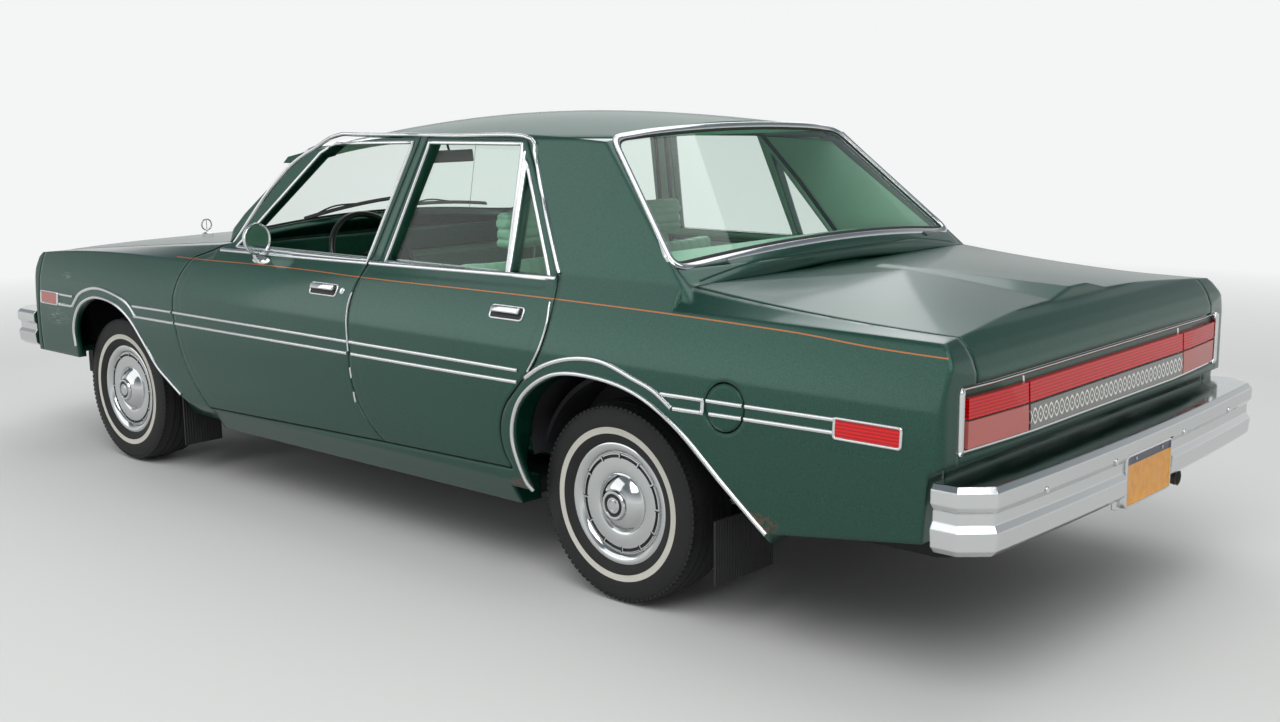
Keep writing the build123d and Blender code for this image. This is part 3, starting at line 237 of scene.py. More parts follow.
def makeEnamel(name, lined, trimAxis, metallic=0.6, roughness=0.3, coat=0.5):
    material, shader = newMaterial(name, paint["green"], metallic, roughness, coat, 0.09)
    flake = noiseField(material, paint["flake"], 1.0).spread(0.0, 1.0, 0.3, 0.7)
    colour = flake.mix(paint["deepGreen"], paint["green"])
    colour = noiseField(material, paint["cloud"], 2.0).spread(0.0, 0.3).mix(colour, paint["deepGreen"])
    x, y, z = splitPlace(material)
    dull = None
    if lined:
        colour = (coachLineMask(x, z) * (abs(y) > paint["flankFrom"])).mix(colour, paint["coachLine"])
        stretched = addNode(material, "ShaderNodeMapping", {"Vector": objectPlace(material), "Scale": (22, 22, 420)})
        scratches = addNode(material, "ShaderNodeTexNoise", {
            "Vector": stretched.outputs[0], "Scale": 1.0, "Detail": 4.0}).outputs["Fac"]
        scuffed = Field(scratches).spread(0.0, 0.8, 0.56, 0.66) * spotMask(x, z, scuffSpots)
        colour = scuffed.mix(colour, paint["scuff"])
        dull = noiseField(material, 16, 5.0).spread(0.0, 1.0, 0.47, 0.53) * spotMask(x, z, rustSpots)
        colour = dull.mix(colour, paint["rust"])
    if trimAxis is not None:
        # The faces that look into the cabin are lined in mint green
        trimDark, trimLight = paint["trimDark"], paint["trimLight"]
        facing = addNode(material, "ShaderNodeTexCoord").outputs["Normal"]
        facing = [Field(part) for part in addNode(material, "ShaderNodeSeparateXYZ", {"Vector": facing}).outputs]
        if trimAxis == "shelf":
            inward = z < paint["shelfTop"]
            trimDark, trimLight = paint["shelfDark"], paint["shelfLight"]
        elif trimAxis == "side":
            inward = (facing[1] * reckon("SIGN", y) < paint["facesIn"]) * cabinMask(x, z)
        else:
            inward = facing[2] < paint["facesIn"]
        colour = inward.mix(colour, noiseField(material, 3.0, 3.0).mix(trimDark, trimLight))
        dull = inward if dull is None else reckon("MAXIMUM", dull, inward)
    if dull is not None:
        feed(shader, "Metallic", (1.0 - dull) * metallic)
        feed(shader, "Roughness", dull * 0.3 + roughness)
    feed(shader, "Base Color", colour)
    bump = addBump(shader, noiseField(material, 9.0, 2.0), 0.05, 0.4)
    roundCreases(shader, bump, paint["creaseRound"])
    return material


# Flanks and doors: glossy, with the coach line, rust and scuffs outside and mint trim inside
enamelLined = makeEnamel("metallicEnamelLined", True, "side")
# Roof: faded by the sun, so the reflections are broad and weak
enamelRoof = makeEnamel("sunFadedEnamelRoof", False, "roof", 0.35, 0.55, 0.12)
# Hood, lid, nose, tail and cowl: the same paint, a little duller where it lies flat
enamelPlain = makeEnamel("metallicEnamelPlain", False, None, 0.6, 0.34, 0.35)
# Rear shelf: painted along its outer strip, and lined in mint below the glass
enamelShelf = makeEnamel("metallicEnamelShelf", False, "shelf")


def makeChrome(name, hexCode, roughness):
    material, shader = newMaterial(name, hexCode, 1.0, roughness)
    feed(shader, "Roughness", noiseField(material, 60, 4.0).spread(roughness * 0.7, roughness * 1.9, 0.35, 0.75))
    bump = addBump(shader, noiseField(material, 5.0, 3.0), 0.04, 0.3)
    roundCreases(shader, bump, 0.005)
    return material


# Bright plating: mirror-like with hazy patches and faint pits from age
chrome = makeChrome("agedChromePlate", "d4d6d6", 0.09)
# Dull bright metal of the plate's screws
satinAlloy = makeChrome("satinAlloy", "b9bbbb", 0.28)
# Looking glass of the door mirror
mirrorGlass = makeChrome("silveredMirrorGlass", "c3cacc", 0.10)

# Window glass: a faint green tint, clear enough to show the seats, and a mirror only at a grazing angle
glassLook = {"tint": "f6faf8", "roughness": 0.02, "grazing": 0.9, "straight": 0.016}
windowGlass = blankMaterial("tintedWindowGlass", glassLook["tint"])
clear = addNode(windowGlass, "ShaderNodeBsdfTransparent", {"Color": glassLook["tint"]}).outputs[0]
shine = addNode(windowGlass, "ShaderNodeBsdfGlossy", {
    "Color": (1, 1, 1, 1), "Roughness": glassLook["roughness"]}).outputs[0]
grazing = Field(addNode(windowGlass, "ShaderNodeLayerWeight", {"Blend": 0.5}).outputs["Facing"])
mirrored = grazing ** 5.0 * glassLook["grazing"] + glassLook["straight"]
mixed = addNode(windowGlass, "ShaderNodeMixShader", {0: mirrored, 1: clear, 2: shine})
addNode(windowGlass, "ShaderNodeOutputMaterial", {"Surface": mixed.outputs[0]})

# Sealed-beam lamp glass: pale, with upright flutes that catch the light, and amber at the outer ends
lampGlass, lampShader = newMaterial("flutedLampGlass", "d9dcdb", 0.35, 0.12, 1.0)
x, y, z = splitPlace(lampGlass)
amberSide = abs(y) > 0.80
feed(lampShader, "Base Color", amberSide.mix("d9dcdb", "9a2a12"))
feed(lampShader, "Metallic", amberSide * -0.35 + 0.35)
addBump(lampShader, waveField(y, 0.009) + waveField(z, 0.042) * 0.4, 0.5, 1.2)

# Tail lamps: red acrylic above, pale reversing lens outboard below, and a silver scroll strip between.
# The scroll's rows are drawn coarser than they are, so that they show.
tail = {"red": "c4060f", "redLow": "a00208", "redHigh": "d8040e", "clear": "b8655f", "scrollDark": "8e8e8a",
        "scrollLight": "f0f0ec", "bandTop": 0.7345, "bandEnd": 0.84, "inner": 0.5125, "scrollPitch": 0.062,
        "scrollMiddle": 0.696, "scrollSwing": 0.019, "scrollLine": 0.0040, "eye": 0.014}
tailLens, tailShader = newMaterial("mouldedTailLens", tail["red"], 0.0, 0.22)
x, y, z = splitPlace(tailLens)
low = (z < tail["bandTop"]) * (abs(y) < tail["bandEnd"])
outer = abs(y) > tail["inner"]
wave = waveField(y, tail["scrollPitch"]) * tail["scrollSwing"]
level = z - tail["scrollMiddle"]
strands = reckon("MINIMUM", abs(level - wave), abs(level + wave))
eyes = abs(reckon("COSINE", y * (2 * pi / tail["scrollPitch"]))) * tail["eye"] + abs(level)
scroll = reckon("MAXIMUM", strands.spread(1.0, 0.0, tail["scrollLine"] * 0.5, tail["scrollLine"]),
                eyes.spread(1.0, 0.0, 0.004, 0.006))
lowTone = outer.mix(scroll.mix(tail["scrollDark"], tail["scrollLight"]), tail["clear"])
ribs, cells = waveField(z, 0.009), waveField(y, 0.007)
# The red is lighter on the ribs' crests and darker in their valleys: painted light and shade of the moulded ribs
ribShadedRed = ribs.spread(0.0, 1.0, -1, 1).mix(tail["redLow"], tail["redHigh"])
feed(tailShader, "Base Color", low.mix(ribShadedRed, lowTone))
feed(tailShader, "Metallic", low * (1.0 - outer) * 0.85)
addBump(tailShader, ribs * 0.5 + cells * 0.5, 0.12, 0.5)


def makeVinyl(name, light, dark, ribSpacing=0):
    material, shader = newMaterial(name, light, 0.0, 0.42)
    grain = addNode(material, "ShaderNodeTexVoronoi", {"Vector": objectPlace(material), "Scale": 1000.0 / 2.4})
    tone = noiseField(material, 160, 3.0).mix(light, dark)
    height = Field(grain.outputs["Distance"]) * 0.25
    if ribSpacing:
        groove = abs(waveField(splitPlace(material)[1], 2 * ribSpacing)) ** 0.35
        # The vinyl is coloured darker down each sewn groove: painted shade in the channels
        tone = groove.mix(dark, tone)
        height = height + groove * 2.0
    feed(shader, "Base Color", tone)
    addBump(shader, height, 0.35, 1.2)
    return material


# Seat vinyl: mint green, sewn into upright ribs, with a fine pressed grain, and painted shade darkening the rib
# grooves
ribbedVinyl = makeVinyl("ribbedSeatVinyl", "9fd6b8", "76b393", 0.052)
plainVinyl = makeVinyl("grainedVinyl", "9fd6b8", "7dba9a")
# Padded dashboard skin: darker green with the same grain
dashSkin = makeVinyl("paddedDashSkin", "2f5a45", "254938")


def makeDull(name, light, dark, millimetres, roughness, metallic=0.0, bump=0.3, ribSpacing=0):
    material, shader = newMaterial(name, light, metallic, roughness)
    field = noiseField(material, millimetres, 5.0)
    feed(shader, "Base Color", field.mix(dark, light))
    feed(shader, "Roughness", field.spread(roughness * 0.8, min(1.0, roughness * 1.2)))
    if ribSpacing:
        addBump(shader, waveField(splitPlace(material)[1], ribSpacing), 0.6, 2.0)
    else:
        addBump(shader, field, bump, 1.0)
    return material


# Underbody paint, oily iron, rusty pipe steel, near-black soot that is also painted shade of the hollow pipe, and
# moulded rubber, each dusty from the road
underPaint = makeDull("dustyUnderbodyPaint", "26262a", "17171a", 90, 0.75)
oilyIron = makeDull("oilyCastIron", "2c2a28", "1a1918", 40, 0.6, 0.4)
pipeSteel = makeDull("scaledPipeSteel", "6e6256", "473a2f", 30, 0.55, 0.7)
pipeSootAndShade = makeDull("pipeSootAndShade", "0d0c0b", "060606", 20, 0.9)
blackRubber = makeDull("mouldedRubber", "1c1c1e", "101011", 25, 0.7)
flapRubber = makeDull("ribbedFlapRubber", "1c1c1e", "101011", 25, 0.7, ribSpacing=0.012)
# Hard plastic of the steering wheel, and a near-black painted shade for the wheel covers' slots and hub groove and the
# slab under each door handle
steeringPlastic = makeDull("blackHardPlastic", "161a18", "0e1110", 12, 0.35, 0.0, 0.1)
recessShade = makeDull("paintedRecessShade", "1b1c1e", "121314", 20, 0.5)

# Tyre rubber: black with grey road dust, and a narrow whitewall gone slightly yellow
tyreLook = {"whiteInner": 0.220, "whiteOuter": 0.240, "black": "121213", "blackLow": "0a0a0b",
            "blackHigh": "191919", "white": "c9c7bf", "whiteLow": "b9b6ab", "wallFrom": 0.03, "ringPitch": 0.011}
tyreRubber = {}
for end in wheelCentres:
    material, shader = newMaterial(f"whitewallTyreRubber{end.title()}", tyreLook["black"], 0.0, 0.72)
    x, y, z = splitPlace(material)
    dx, dz = x - wheelCentres[end], z - axleHeight
    radius = reckon("SQRT", dx * dx + dz * dz)
    dust = noiseField(material, 45, 5.0)
    ring = (radius > tyreLook["whiteInner"]) * (radius < tyreLook["whiteOuter"])
    outside = abs(y) > wheelSpots[end] + tyreLook["wallFrom"]
    feed(shader, "Base Color", (ring * outside).mix(dust.mix(tyreLook["blackLow"], tyreLook["blackHigh"]),
                                                    dust.mix(tyreLook["whiteLow"], tyreLook["white"])))
    addBump(shader, waveField(radius, tyreLook["ringPitch"]), 0.12, 0.8)
    tyreRubber[end] = material

# Bright pressed steel of the wheel covers, slightly hazed by washing
coverSteel, shader = newMaterial("brightWheelCover", "c9cbcb", 1.0, 0.14)
feed(shader, "Roughness", noiseField(coverSteel, 35, 3.0).spread(0.05, 0.16))

# Number plate: pressed aluminium, blank, amber enamel under a dark blue band
plateLook = {"amber": "e29a17", "worn": "c97c10", "navy": "1a2340", "band": 0.511}
plateEnamel, shader = newMaterial("pressedPlateEnamel", "d98a12", 0.0, 0.4, 0.4)
worn = noiseField(plateEnamel, 30, 4.0)
amber = worn.spread(0.0, 0.6, 0.4, 0.7).mix(plateLook["amber"], plateLook["worn"])
navy = splitPlace(plateEnamel)[2] > plateLook["band"]
feed(shader, "Base Color", navy.mix(amber, plateLook["navy"]))
addBump(shader, worn, 0.1, 0.3)

nodeLooks = {
    "roof_panel": enamelRoof, "rear_shelf": enamelShelf, "firewall": enamelPlain, "tail_panel": enamelPlain,
    "nose_panel": enamelPlain, "hood": enamelPlain, "trunk_lid": enamelPlain, "fuel_door": enamelPlain,
    "floor_pan": underPaint, "engine_bay": underPaint, "fuel_tank": underPaint, "grille": chrome,
    "front_bumper": chrome, "rear_bumper": chrome, "door_mirror": chrome, "front_lamps": lampGlass,
    "rear_lamps": tailLens, "windshield": windowGlass, "rear_window": windowGlass,
    "glass_front_right": windowGlass, "dashboard": dashSkin, "front_seat": ribbedVinyl, "rear_seat": ribbedVinyl,
    "front_suspension": oilyIron, "rear_axle": oilyIron, "engine": oilyIron, "exhaust": pipeSteel,
    "mud_flaps": flapRubber, "steering_wheel": steeringPlastic,
}
for side, sign in sides:
    for name in ("body_side", "front_fender", "door_front", "door_rear"):
        nodeLooks[f"{name}_{side}"] = enamelLined
    nodeLooks[f"glass_rear_{side}"] = windowGlass
    nodeLooks[f"knuckle_{side}"] = oilyIron
    for end in wheelCentres:
        nodeLooks[f"wheel_{end}_{side}"] = coverSteel
        nodeLooks[f"tyre_{end}_{side}"] = tyreRubber[end]
for name, material in nodeLooks.items():
    shape = nodes[name].data
    shape.materials.clear()
    shape.materials.append(material)
print("materials set on", len(nodeLooks), "nodes")


# Surfaces that trim is laid on, and the sweeps that lay it

def surfaceTree(names):
    places, faces, owners = [], [], []
    for name in names:
        shape = nodes[name].data
        start = len(places)
        places.extend(vertex.co.copy() for vertex in shape.vertices)
        for polygon in shape.polygons:
            faces.append([start + index for index in polygon.vertices])
            owners.append(name)
    return BVHTree.FromPolygons(places, faces), owners


def castFrom(treeAndOwners, start, direction):
    tree, owners = treeAndOwners
    place, normal, index = tree.ray_cast(Vector(start), direction)[:3]
    if place is None:
        return None
    if normal.dot(direction) > 0:
        normal = -normal
    return place, normal, owners[index]


sideNames = {side: [f"body_side_{side}", f"door_front_{side}", f"door_rear_{side}", f"front_fender_{side}",
                    "roof_panel", "nose_panel", "tail_panel"] for side, sign in sides}
sideNames["left"].append("fuel_door")
sideTrees = {side: surfaceTree(names) for side, names in sideNames.items()}


def castSide(side, sign, x, z):
    return castFrom(sideTrees[side], (x, sign * 1.3, z), Vector((0, -sign, 0)))


def bodyOf(nodeName):
    return nodes[nodeName]["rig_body"]


def flank(rows):
    return [Vector((x, 0, z)) for x, z in rows]


def boxCorners(halfWide, halfTall, middle=0.0):
    return [Vector((wide * halfWide, middle + tall * halfTall, 0))
            for wide, tall in ((-1, -1), (1, -1), (1, 1), (-1, 1))]


def smoothPoints(points, spacing):
    found = []
    for index in range(len(points) - 1):
        p1, p2 = points[index], points[index + 1]
        p0 = points[index - 1] if index else 2 * p1 - p2
        p3 = points[index + 2] if index + 2 < len(points) else 2 * p2 - p1
        pieces = max(1, round((p2 - p1).length / spacing))
        for step in range(pieces):
            t = step / pieces
            found.append(0.5 * (2 * p1 + (p2 - p0) * t + (2 * p0 - 5 * p1 + 4 * p2 - p3) * t * t
                                + (3 * p1 - p0 - 3 * p2 + p3) * t ** 3))
    found.append(points[-1].copy())
    return found


def straightPoints(points, spacing, closed=True):
    found = []
    for index in range(len(points) if closed else len(points) - 1):
        p1, p2 = points[index], points[(index + 1) % len(points)]
        pieces = max(1, round((p2 - p1).length / spacing))
        found.extend(p1.lerp(p2, step / pieces) for step in range(pieces))
    if not closed:
        found.append(points[-1].copy())
    return found


def crownSection(width, height, sink=0.0015):
    half = width / 2
    return [(-half, -sink), (-half, height * 0.35), (-half * 0.72, height * 0.82), (-half * 0.3, height),
            (half * 0.3, height), (half * 0.72, height * 0.82), (half, height * 0.35), (half, -sink)]


def roundSection(radius, count):
    return [(radius * cos(2 * pi * step / count), radius * sin(2 * pi * step / count)) for step in range(count)]


def joinRings(mesh, rings, looped=False, wrapped=True):
    # Rows of places become a skin: looped joins the last row to the first, and wrapped closes each row
    rings = [[mesh.verts.new(place) for place in ring] for ring in rings]
    size = len(rings[0])
    faces = []
    for index in range(len(rings) if looped else len(rings) - 1):
        first, second = rings[index], rings[(index + 1) % len(rings)]
        for step in range(size if wrapped else size - 1):
            after = (step + 1) % size
            faces.append(mesh.faces.new((first[step], first[after], second[after], second[step])))
    if wrapped and not looped:
        mesh.faces.new(rings[0])
        mesh.faces.new(list(reversed(rings[-1])))
    return faces


def sweepStrip(mesh, places, normals, section, closed=False):
    rings = []
    count = len(places)
    for index in range(count):
        if closed:
            along = places[(index + 1) % count] - places[index - 1]
        else:
            along = places[min(index + 1, count - 1)] - places[max(index - 1, 0)]
        if along.length < 1e-7:
            along = forward.copy()
        along.normalize()
        out = (normals[index] - along * normals[index].dot(along)).normalized()
        across = along.cross(out)
        rings.append([places[index] + across * a + out * b for a, b in section])
    joinRings(mesh, rings, closed)


def smoothNormals(normals):
    count = len(normals)
    return [(normals[max(0, i - 1)] + normals[i] * 2 + normals[min(count - 1, i + 1)]).normalized()
            for i in range(count)]


def finishPiece(mesh, name, body="body", material=chrome, slotName="chrome", sharp=40):
    bmesh.ops.recalc_face_normals(mesh, faces=mesh.faces)
    data = bpy.data.meshes.new(name)
    mesh.to_mesh(data)
    mesh.free()
    for polygon in data.polygons:
        polygon.use_smooth = True
    data.set_sharp_from_angle(angle=radians(sharp))
    data.materials.append(material)
    piece = bpy.data.objects.new(name, data)
    bpy.context.scene.collection.objects.link(piece)
    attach(piece, body)
    return piece


def sweptPiece(name, places, normals, section, closed=False, **finish):
    mesh = bmesh.new()
    sweepStrip(mesh, places, normals, section, closed)
    finishPiece(mesh, name, **finish)


def skinPiece(name, rings, **finish):
    mesh = bmesh.new()
    joinRings(mesh, rings)
    finishPiece(mesh, name, **finish)


# Side trim: each run is laid on whatever panel is under it, and is cut where one panel gives way to the next
archLip = [(-0.898, 0.410), (-0.882, 0.520), (-0.932, 0.626), (-1.052, 0.703), (-1.212, 0.719), (-1.397, 0.692),
           (-1.565, 0.610), (-1.730, 0.475), (-1.868, 0.358)]
sideTrim = {
    "side_moulding": {"width": 0.013, "height": 0.006, "runs": [
        [(2.045, 0.700), (1.928, 0.699)],
        [(1.414, 0.701), (1.097, 0.703), (0.3, 0.703), (-0.5, 0.702), (-0.905, 0.701)],
        [(-1.497, 0.703), (-1.655, 0.705)], [(-1.800, 0.707), (-2.090, 0.711)],
        [(1.404, 0.659), (1.097, 0.660), (0.3, 0.661), (-0.5, 0.662), (-0.905, 0.664)],
        [(-1.545, 0.667), (-1.657, 0.669)], [(-1.799, 0.672), (-2.090, 0.677)],
        [(2.050, 0.655), (1.928, 0.656)], [(-1.665, 0.7052), (-1.790, 0.7068)],
        [(-1.665, 0.6692), (-1.790, 0.6718)], [(-1.6515, 0.706), (-1.6515, 0.668)]]},
    "arch_moulding": {"width": 0.015, "height": 0.007, "runs": [
        [(1.928, 0.656), (1.856, 0.720), (1.726, 0.751), (1.581, 0.739), (1.461, 0.708), (1.393, 0.661)],
        [(-0.923, 0.670), (-1.020, 0.729), (-1.136, 0.763), (-1.262, 0.767), (-1.388, 0.733), (-1.470, 0.707),
         (-1.539, 0.667)]]},
    "arch_lip": {"width": 0.014, "height": 0.008, "runs": [
        [(1.920, 0.48), (1.921, 0.575), (1.866, 0.662), (1.764, 0.706), (1.655, 0.711), (1.543, 0.691),
         (1.435, 0.642), (1.334, 0.558), (1.242, 0.466), (1.160, 0.413), (1.088, 0.368)],
        [(-0.995, 0.215), *archLip]]},
    "belt_moulding": {"width": 0.016, "height": 0.006, "runs": [
        [(0.870, 0.962), (0.4, 0.966), (-0.048, 0.971), (-0.5, 0.977), (-0.975, 0.984)]]},
    "edge_guard": {"width": 0.007, "height": 0.004, "runs": [
        [(-0.0385, 0.911), (-0.0245, 0.830), (-0.046, 0.680), (-0.080, 0.492)],
        [(-0.992, 0.917), (-1.006, 0.850), (-0.990, 0.770), (-0.930, 0.672)]]},
}
runFit = {"spacing": 0.012, "outermost": 0.55, "fewest": 3}
madeTrim = {}


def layGroup(kind, owner, group, spec):
    if owner and len(group) >= runFit["fewest"]:
        mesh = madeTrim.setdefault((kind, bodyOf(owner)), bmesh.new())
        normals = smoothNormals([normal for place, normal in group])
        sweepStrip(mesh, [place for place, normal in group], normals, crownSection(spec["width"], spec["height"]))


def layRun(kind, side, sign, points, spec):
    group, owner = [], None
    for point in smoothPoints(flank(points), runFit["spacing"]):
        hit = castSide(side, sign, point.x, point.z)
        found = hit[2] if hit and abs(hit[0].y) >= runFit["outermost"] else None
        if found != owner:
            layGroup(kind, owner, group, spec)
            group, owner = [], found
        if found:
            group.append((hit[0], hit[1]))
    layGroup(kind, owner, group, spec)


for kind, spec in sideTrim.items():
    for side, sign in sides:
        for points in spec["runs"]:
            layRun(kind, side, sign, points, spec)
for (kind, body), mesh in madeTrim.items():
    finishPiece(mesh, f"{kind}_{body}", body)
print("side trim laid:", len(madeTrim), "pieces")


# A path laid on a surface: points that fell through a gap are put in line with their neighbours

def layPath(treeAndOwners, points, direction, closed, back=0.4, tolerance=0.012):
    count = len(points)
    starts = [point - direction * back for point in points]
    hits = [castFrom(treeAndOwners, start, direction) for start in starts]
    depths = [None if hit is None else (hit[0] - start).dot(direction) for hit, start in zip(hits, starts)]

    def neighbour(index):
        return index % count if closed else min(max(index, 0), count - 1)

    kept = []
    for index, depth in enumerate(depths):
        beside = [depths[neighbour(index + step)] for step in range(-6, 7)]
        near = sorted(value for value in beside if value is not None)
        good = depth is not None and abs(depth - near[len(near) // 3]) < tolerance
        kept.append(depth if good else None)
    known = [index for index in range(count) if kept[index] is not None]
    places, normals = [], []
    for index in range(count):
        if kept[index] is None:
            before = max([k for k in known if k < index], default=known[-1] - count if closed else known[0])
            after = min([k for k in known if k > index], default=known[0] + count if closed else known[-1])
            share = (index - before) / (after - before) if after != before else 0.0
            depth = kept[before % count] * (1 - share) + kept[after % count] * share
            normals.append(hits[(before if share < 0.5 else after) % count][1])
        else:
            depth = kept[index]
            normals.append(hits[index][1])
        places.append(starts[index] + direction * depth)
    for turn in range(2):
        normals = [(normals[neighbour(i - 1)] + normals[i] * 2 + normals[neighbour(i + 1)]).normalized()
                   for i in range(count)]
        heights = [(place - point).dot(direction) for place, point in zip(places, points)]
        eased = [(heights[neighbour(i - 1)] + 2 * heights[i] + heights[neighbour(i + 1)]) / 4 for i in range(count)]
        places = [point + direction * height for point, height in zip(points, eased)]
    return places, normals


def offsetOutline(corners, grow):
    area = sum(a.x * b.z - b.x * a.z for a, b in zip(corners, corners[1:] + corners[:1]))
    sideways = 1 if area > 0 else -1
    grown = []
    for index, corner in enumerate(corners):
        before = (corner - corners[index - 1]).normalized()
        after = (corners[(index + 1) % len(corners)] - corner).normalized()
        first = Vector((before.z, 0, -before.x)) * sideways
        second = Vector((after.z, 0, -after.x)) * sideways
        bisector = (first + second).normalized()
        grown.append(corner + bisector * (grow / max(0.3, bisector.dot(first))))
    return grown


def roundedLoop(corners, radius, steps=6):
    loop = []
    count = len(corners)
    for index in range(count):
        before, corner, after = corners[index - 1], corners[index], corners[(index + 1) % count]
        start = corner + (before - corner).normalized() * radius
        stop = corner + (after - corner).normalized() * radius
        for step in range(steps + 1):
            t = step / steps
            loop.append(start.lerp(corner, t).lerp(corner.lerp(stop, t), t))
    return loop


# Bright window reveals on the doors
windowOutlines = {
    "door_front": [[(0.765, 0.985), (0.390, 1.336), (0.326, 1.370), (-0.120, 1.380), (-0.030, 0.985)]],
    "door_rear": [[(-0.143, 0.986), (-0.223, 1.380), (-0.677, 1.382), (-0.742, 0.986)],
                  [(-0.766, 0.986), (-0.724, 1.317), (-0.935, 0.986)]],
}
revealFit = {"width": 0.013, "height": 0.005, "outside": 0.007, "back": 1.3, "tolerance": 0.035}
for side, sign in sides:
    for door, outlines in windowOutlines.items():
        mesh = bmesh.new()
        doorTree = surfaceTree([f"{door}_{side}"])
        for outline in outlines:
            points = straightPoints(offsetOutline(flank(outline), revealFit["outside"]), 0.02)
            places, normals = layPath(doorTree, points, Vector((0, -sign, 0)), True, revealFit["back"],
                                      revealFit["tolerance"])
            sweepStrip(mesh, places, normals, crownSection(revealFit["width"], revealFit["height"]), True)
        finishPiece(mesh, f"window_reveal_{door}_{side}", bodyOf(f"{door}_{side}"))

# Windscreen and rear window: bright frame on the body, black seal on the glass.
# The outline gives places across and up the slope, lift and sealLift raise the foot of each, and also names
# one more surface that the frame may lie on.
glassFrames = {
    "windscreen_frame": {
        "glass": "windshield", "also": [], "foot": (0.884, 0.960), "rise": (-0.394, 0.414), "turn": 1, "wide": 0.018,
        "lift": 0.0, "sealLift": 0.0, "outline": [(-0.765, 0.050), (0.765, 0.050), (0.610, 0.535), (-0.610, 0.535)]},
    "rear_window_frame": {
        "glass": "rear_window", "also": ["rear_window"], "foot": (-1.448, 1.005), "rise": (0.460, 0.405), "turn": -1,
        "wide": 0.024, "lift": 0.012, "sealLift": 0.018,
        "outline": [(-0.765, 0.028), (0.765, 0.028), (0.605, 0.570), (-0.605, 0.570)]},
}
shellNames = ["roof_panel", "body_side_left", "body_side_right", "firewall", "rear_shelf"]
for name, spec in glassFrames.items():
    riseX, riseZ = spec["rise"]
    up = Vector((riseX, 0, riseZ)).normalized()
    out = Vector((riseZ, 0, -riseX)).normalized() * spec["turn"]
    foot = Vector((spec["foot"][0], 0, spec["foot"][1]))
    for pieceName, surfaces, lift, grow, radius, section, material, slotName in (
            (name, shellNames + spec["also"], spec["lift"], 0.006, 0.055, crownSection(spec["wide"], 0.006, 0.010),
             chrome, "chrome"),
            (f"{name}_seal", [spec["glass"]], spec["sealLift"], -0.004, 0.048, crownSection(0.017, 0.0035, 0.001),
             blackRubber, "rubber")):
        outline = [Vector((y, 0, height + (lift if height < 0.1 else 0))) for y, height in spec["outline"]]
        loop = straightPoints(roundedLoop(offsetOutline(outline, grow), radius), 0.03)
        points = [foot + up * point.z + Vector((0, point.x, 0)) for point in loop]
        places = layPath(surfaceTree(surfaces), points, -out, True)[0]
        sweptPiece(pieceName, places, [out] * len(places), section, True, material=material, slotName=slotName)

# Painted sill that carries the foot of the rear window down to the strip behind it
sillFit = {"startX": -1.478, "stepX": 0.0015, "tries": 70, "stripX": -1.488, "half": 0.742, "steps": 74, "low": 1.0}
glassTree = surfaceTree(["rear_window"])
stripTree = surfaceTree(["rear_shelf", "body_side_left", "body_side_right"])
rings = []
for step in range(sillFit["steps"] + 1):
    y = sillFit["half"] * (2 * step / sillFit["steps"] - 1)
    lower = castFrom(stripTree, (sillFit["stripX"], y, 1.3), down)
    tries = (castFrom(glassTree, (sillFit["startX"] + sillFit["stepX"] * number, y, 1.5), down)
             for number in range(sillFit["tries"]))
    upper = next((hit for hit in tries if hit), None)
    if upper and lower and sillFit["low"] < lower[0].z < upper[0].z:
        edgeX, top, foot = upper[0].x, upper[0].z, lower[0].z
        rings.append([(edgeX + 0.004, y, top + 0.0015), (edgeX - 0.007, y, top - 0.0040),
                      ((edgeX - 0.007 + sillFit["stripX"]) / 2, y, (top + foot) / 2 - 0.0015),
                      (sillFit["stripX"], y, foot + 0.0012), (sillFit["stripX"], y, foot - 0.003),
                      (edgeX + 0.014, y, foot - 0.003)])
skinPiece("rear_window_sill", rings, material=enamelPlain, slotName="enamel")

# Roof corners over the front doors, between the roof pressing and the door frames
cornerFit = {"startX": 0.045, "endX": 0.425, "steps": 26, "insideY": 0.47, "thick": 0.002, "gap": 0.004,
             "firstY": 0.50, "stepY": 0.002, "tries": 70, "doorTop": 1.345, "parts": 6, "crown": 0.0022,
             "tuck": 0.0009}
for side, sign in sides:
    roofTree, doorTree = surfaceTree(["roof_panel"]), surfaceTree([f"door_front_{side}"])
    rings = []
    for step in range(cornerFit["steps"] + 1):
        x = cornerFit["startX"] + (cornerFit["endX"] - cornerFit["startX"]) * step / cornerFit["steps"]
        roof = castFrom(roofTree, (x, sign * cornerFit["insideY"], 1.7), down)
        tries = (castFrom(doorTree, (x, sign * (cornerFit["firstY"] + cornerFit["stepY"] * number), 1.7), down)
                 for number in range(cornerFit["tries"]))
        edge = next((hit[0] for hit in tries if hit and hit[0].z > cornerFit["doorTop"]), None)
        if roof is None or edge is None:
            continue
        outY = abs(edge.y) - cornerFit["gap"]
        high = []
        for part in range(cornerFit["parts"] + 1):
            share = part / cornerFit["parts"]
            lift = cornerFit["crown"] * sin(pi * share) - cornerFit["tuck"] * (1 - share)
            high.append((x, sign * (cornerFit["insideY"] + (outY - cornerFit["insideY"]) * share),
                         roof[0].z * (1 - share) + edge.z * share + lift))
        rings.append(high + [(px, py, pz - cornerFit["thick"]) for px, py, pz in reversed(high)])
    skinPiece(f"roof_corner_{side}", rings, material=enamelRoof, slotName="enamel")

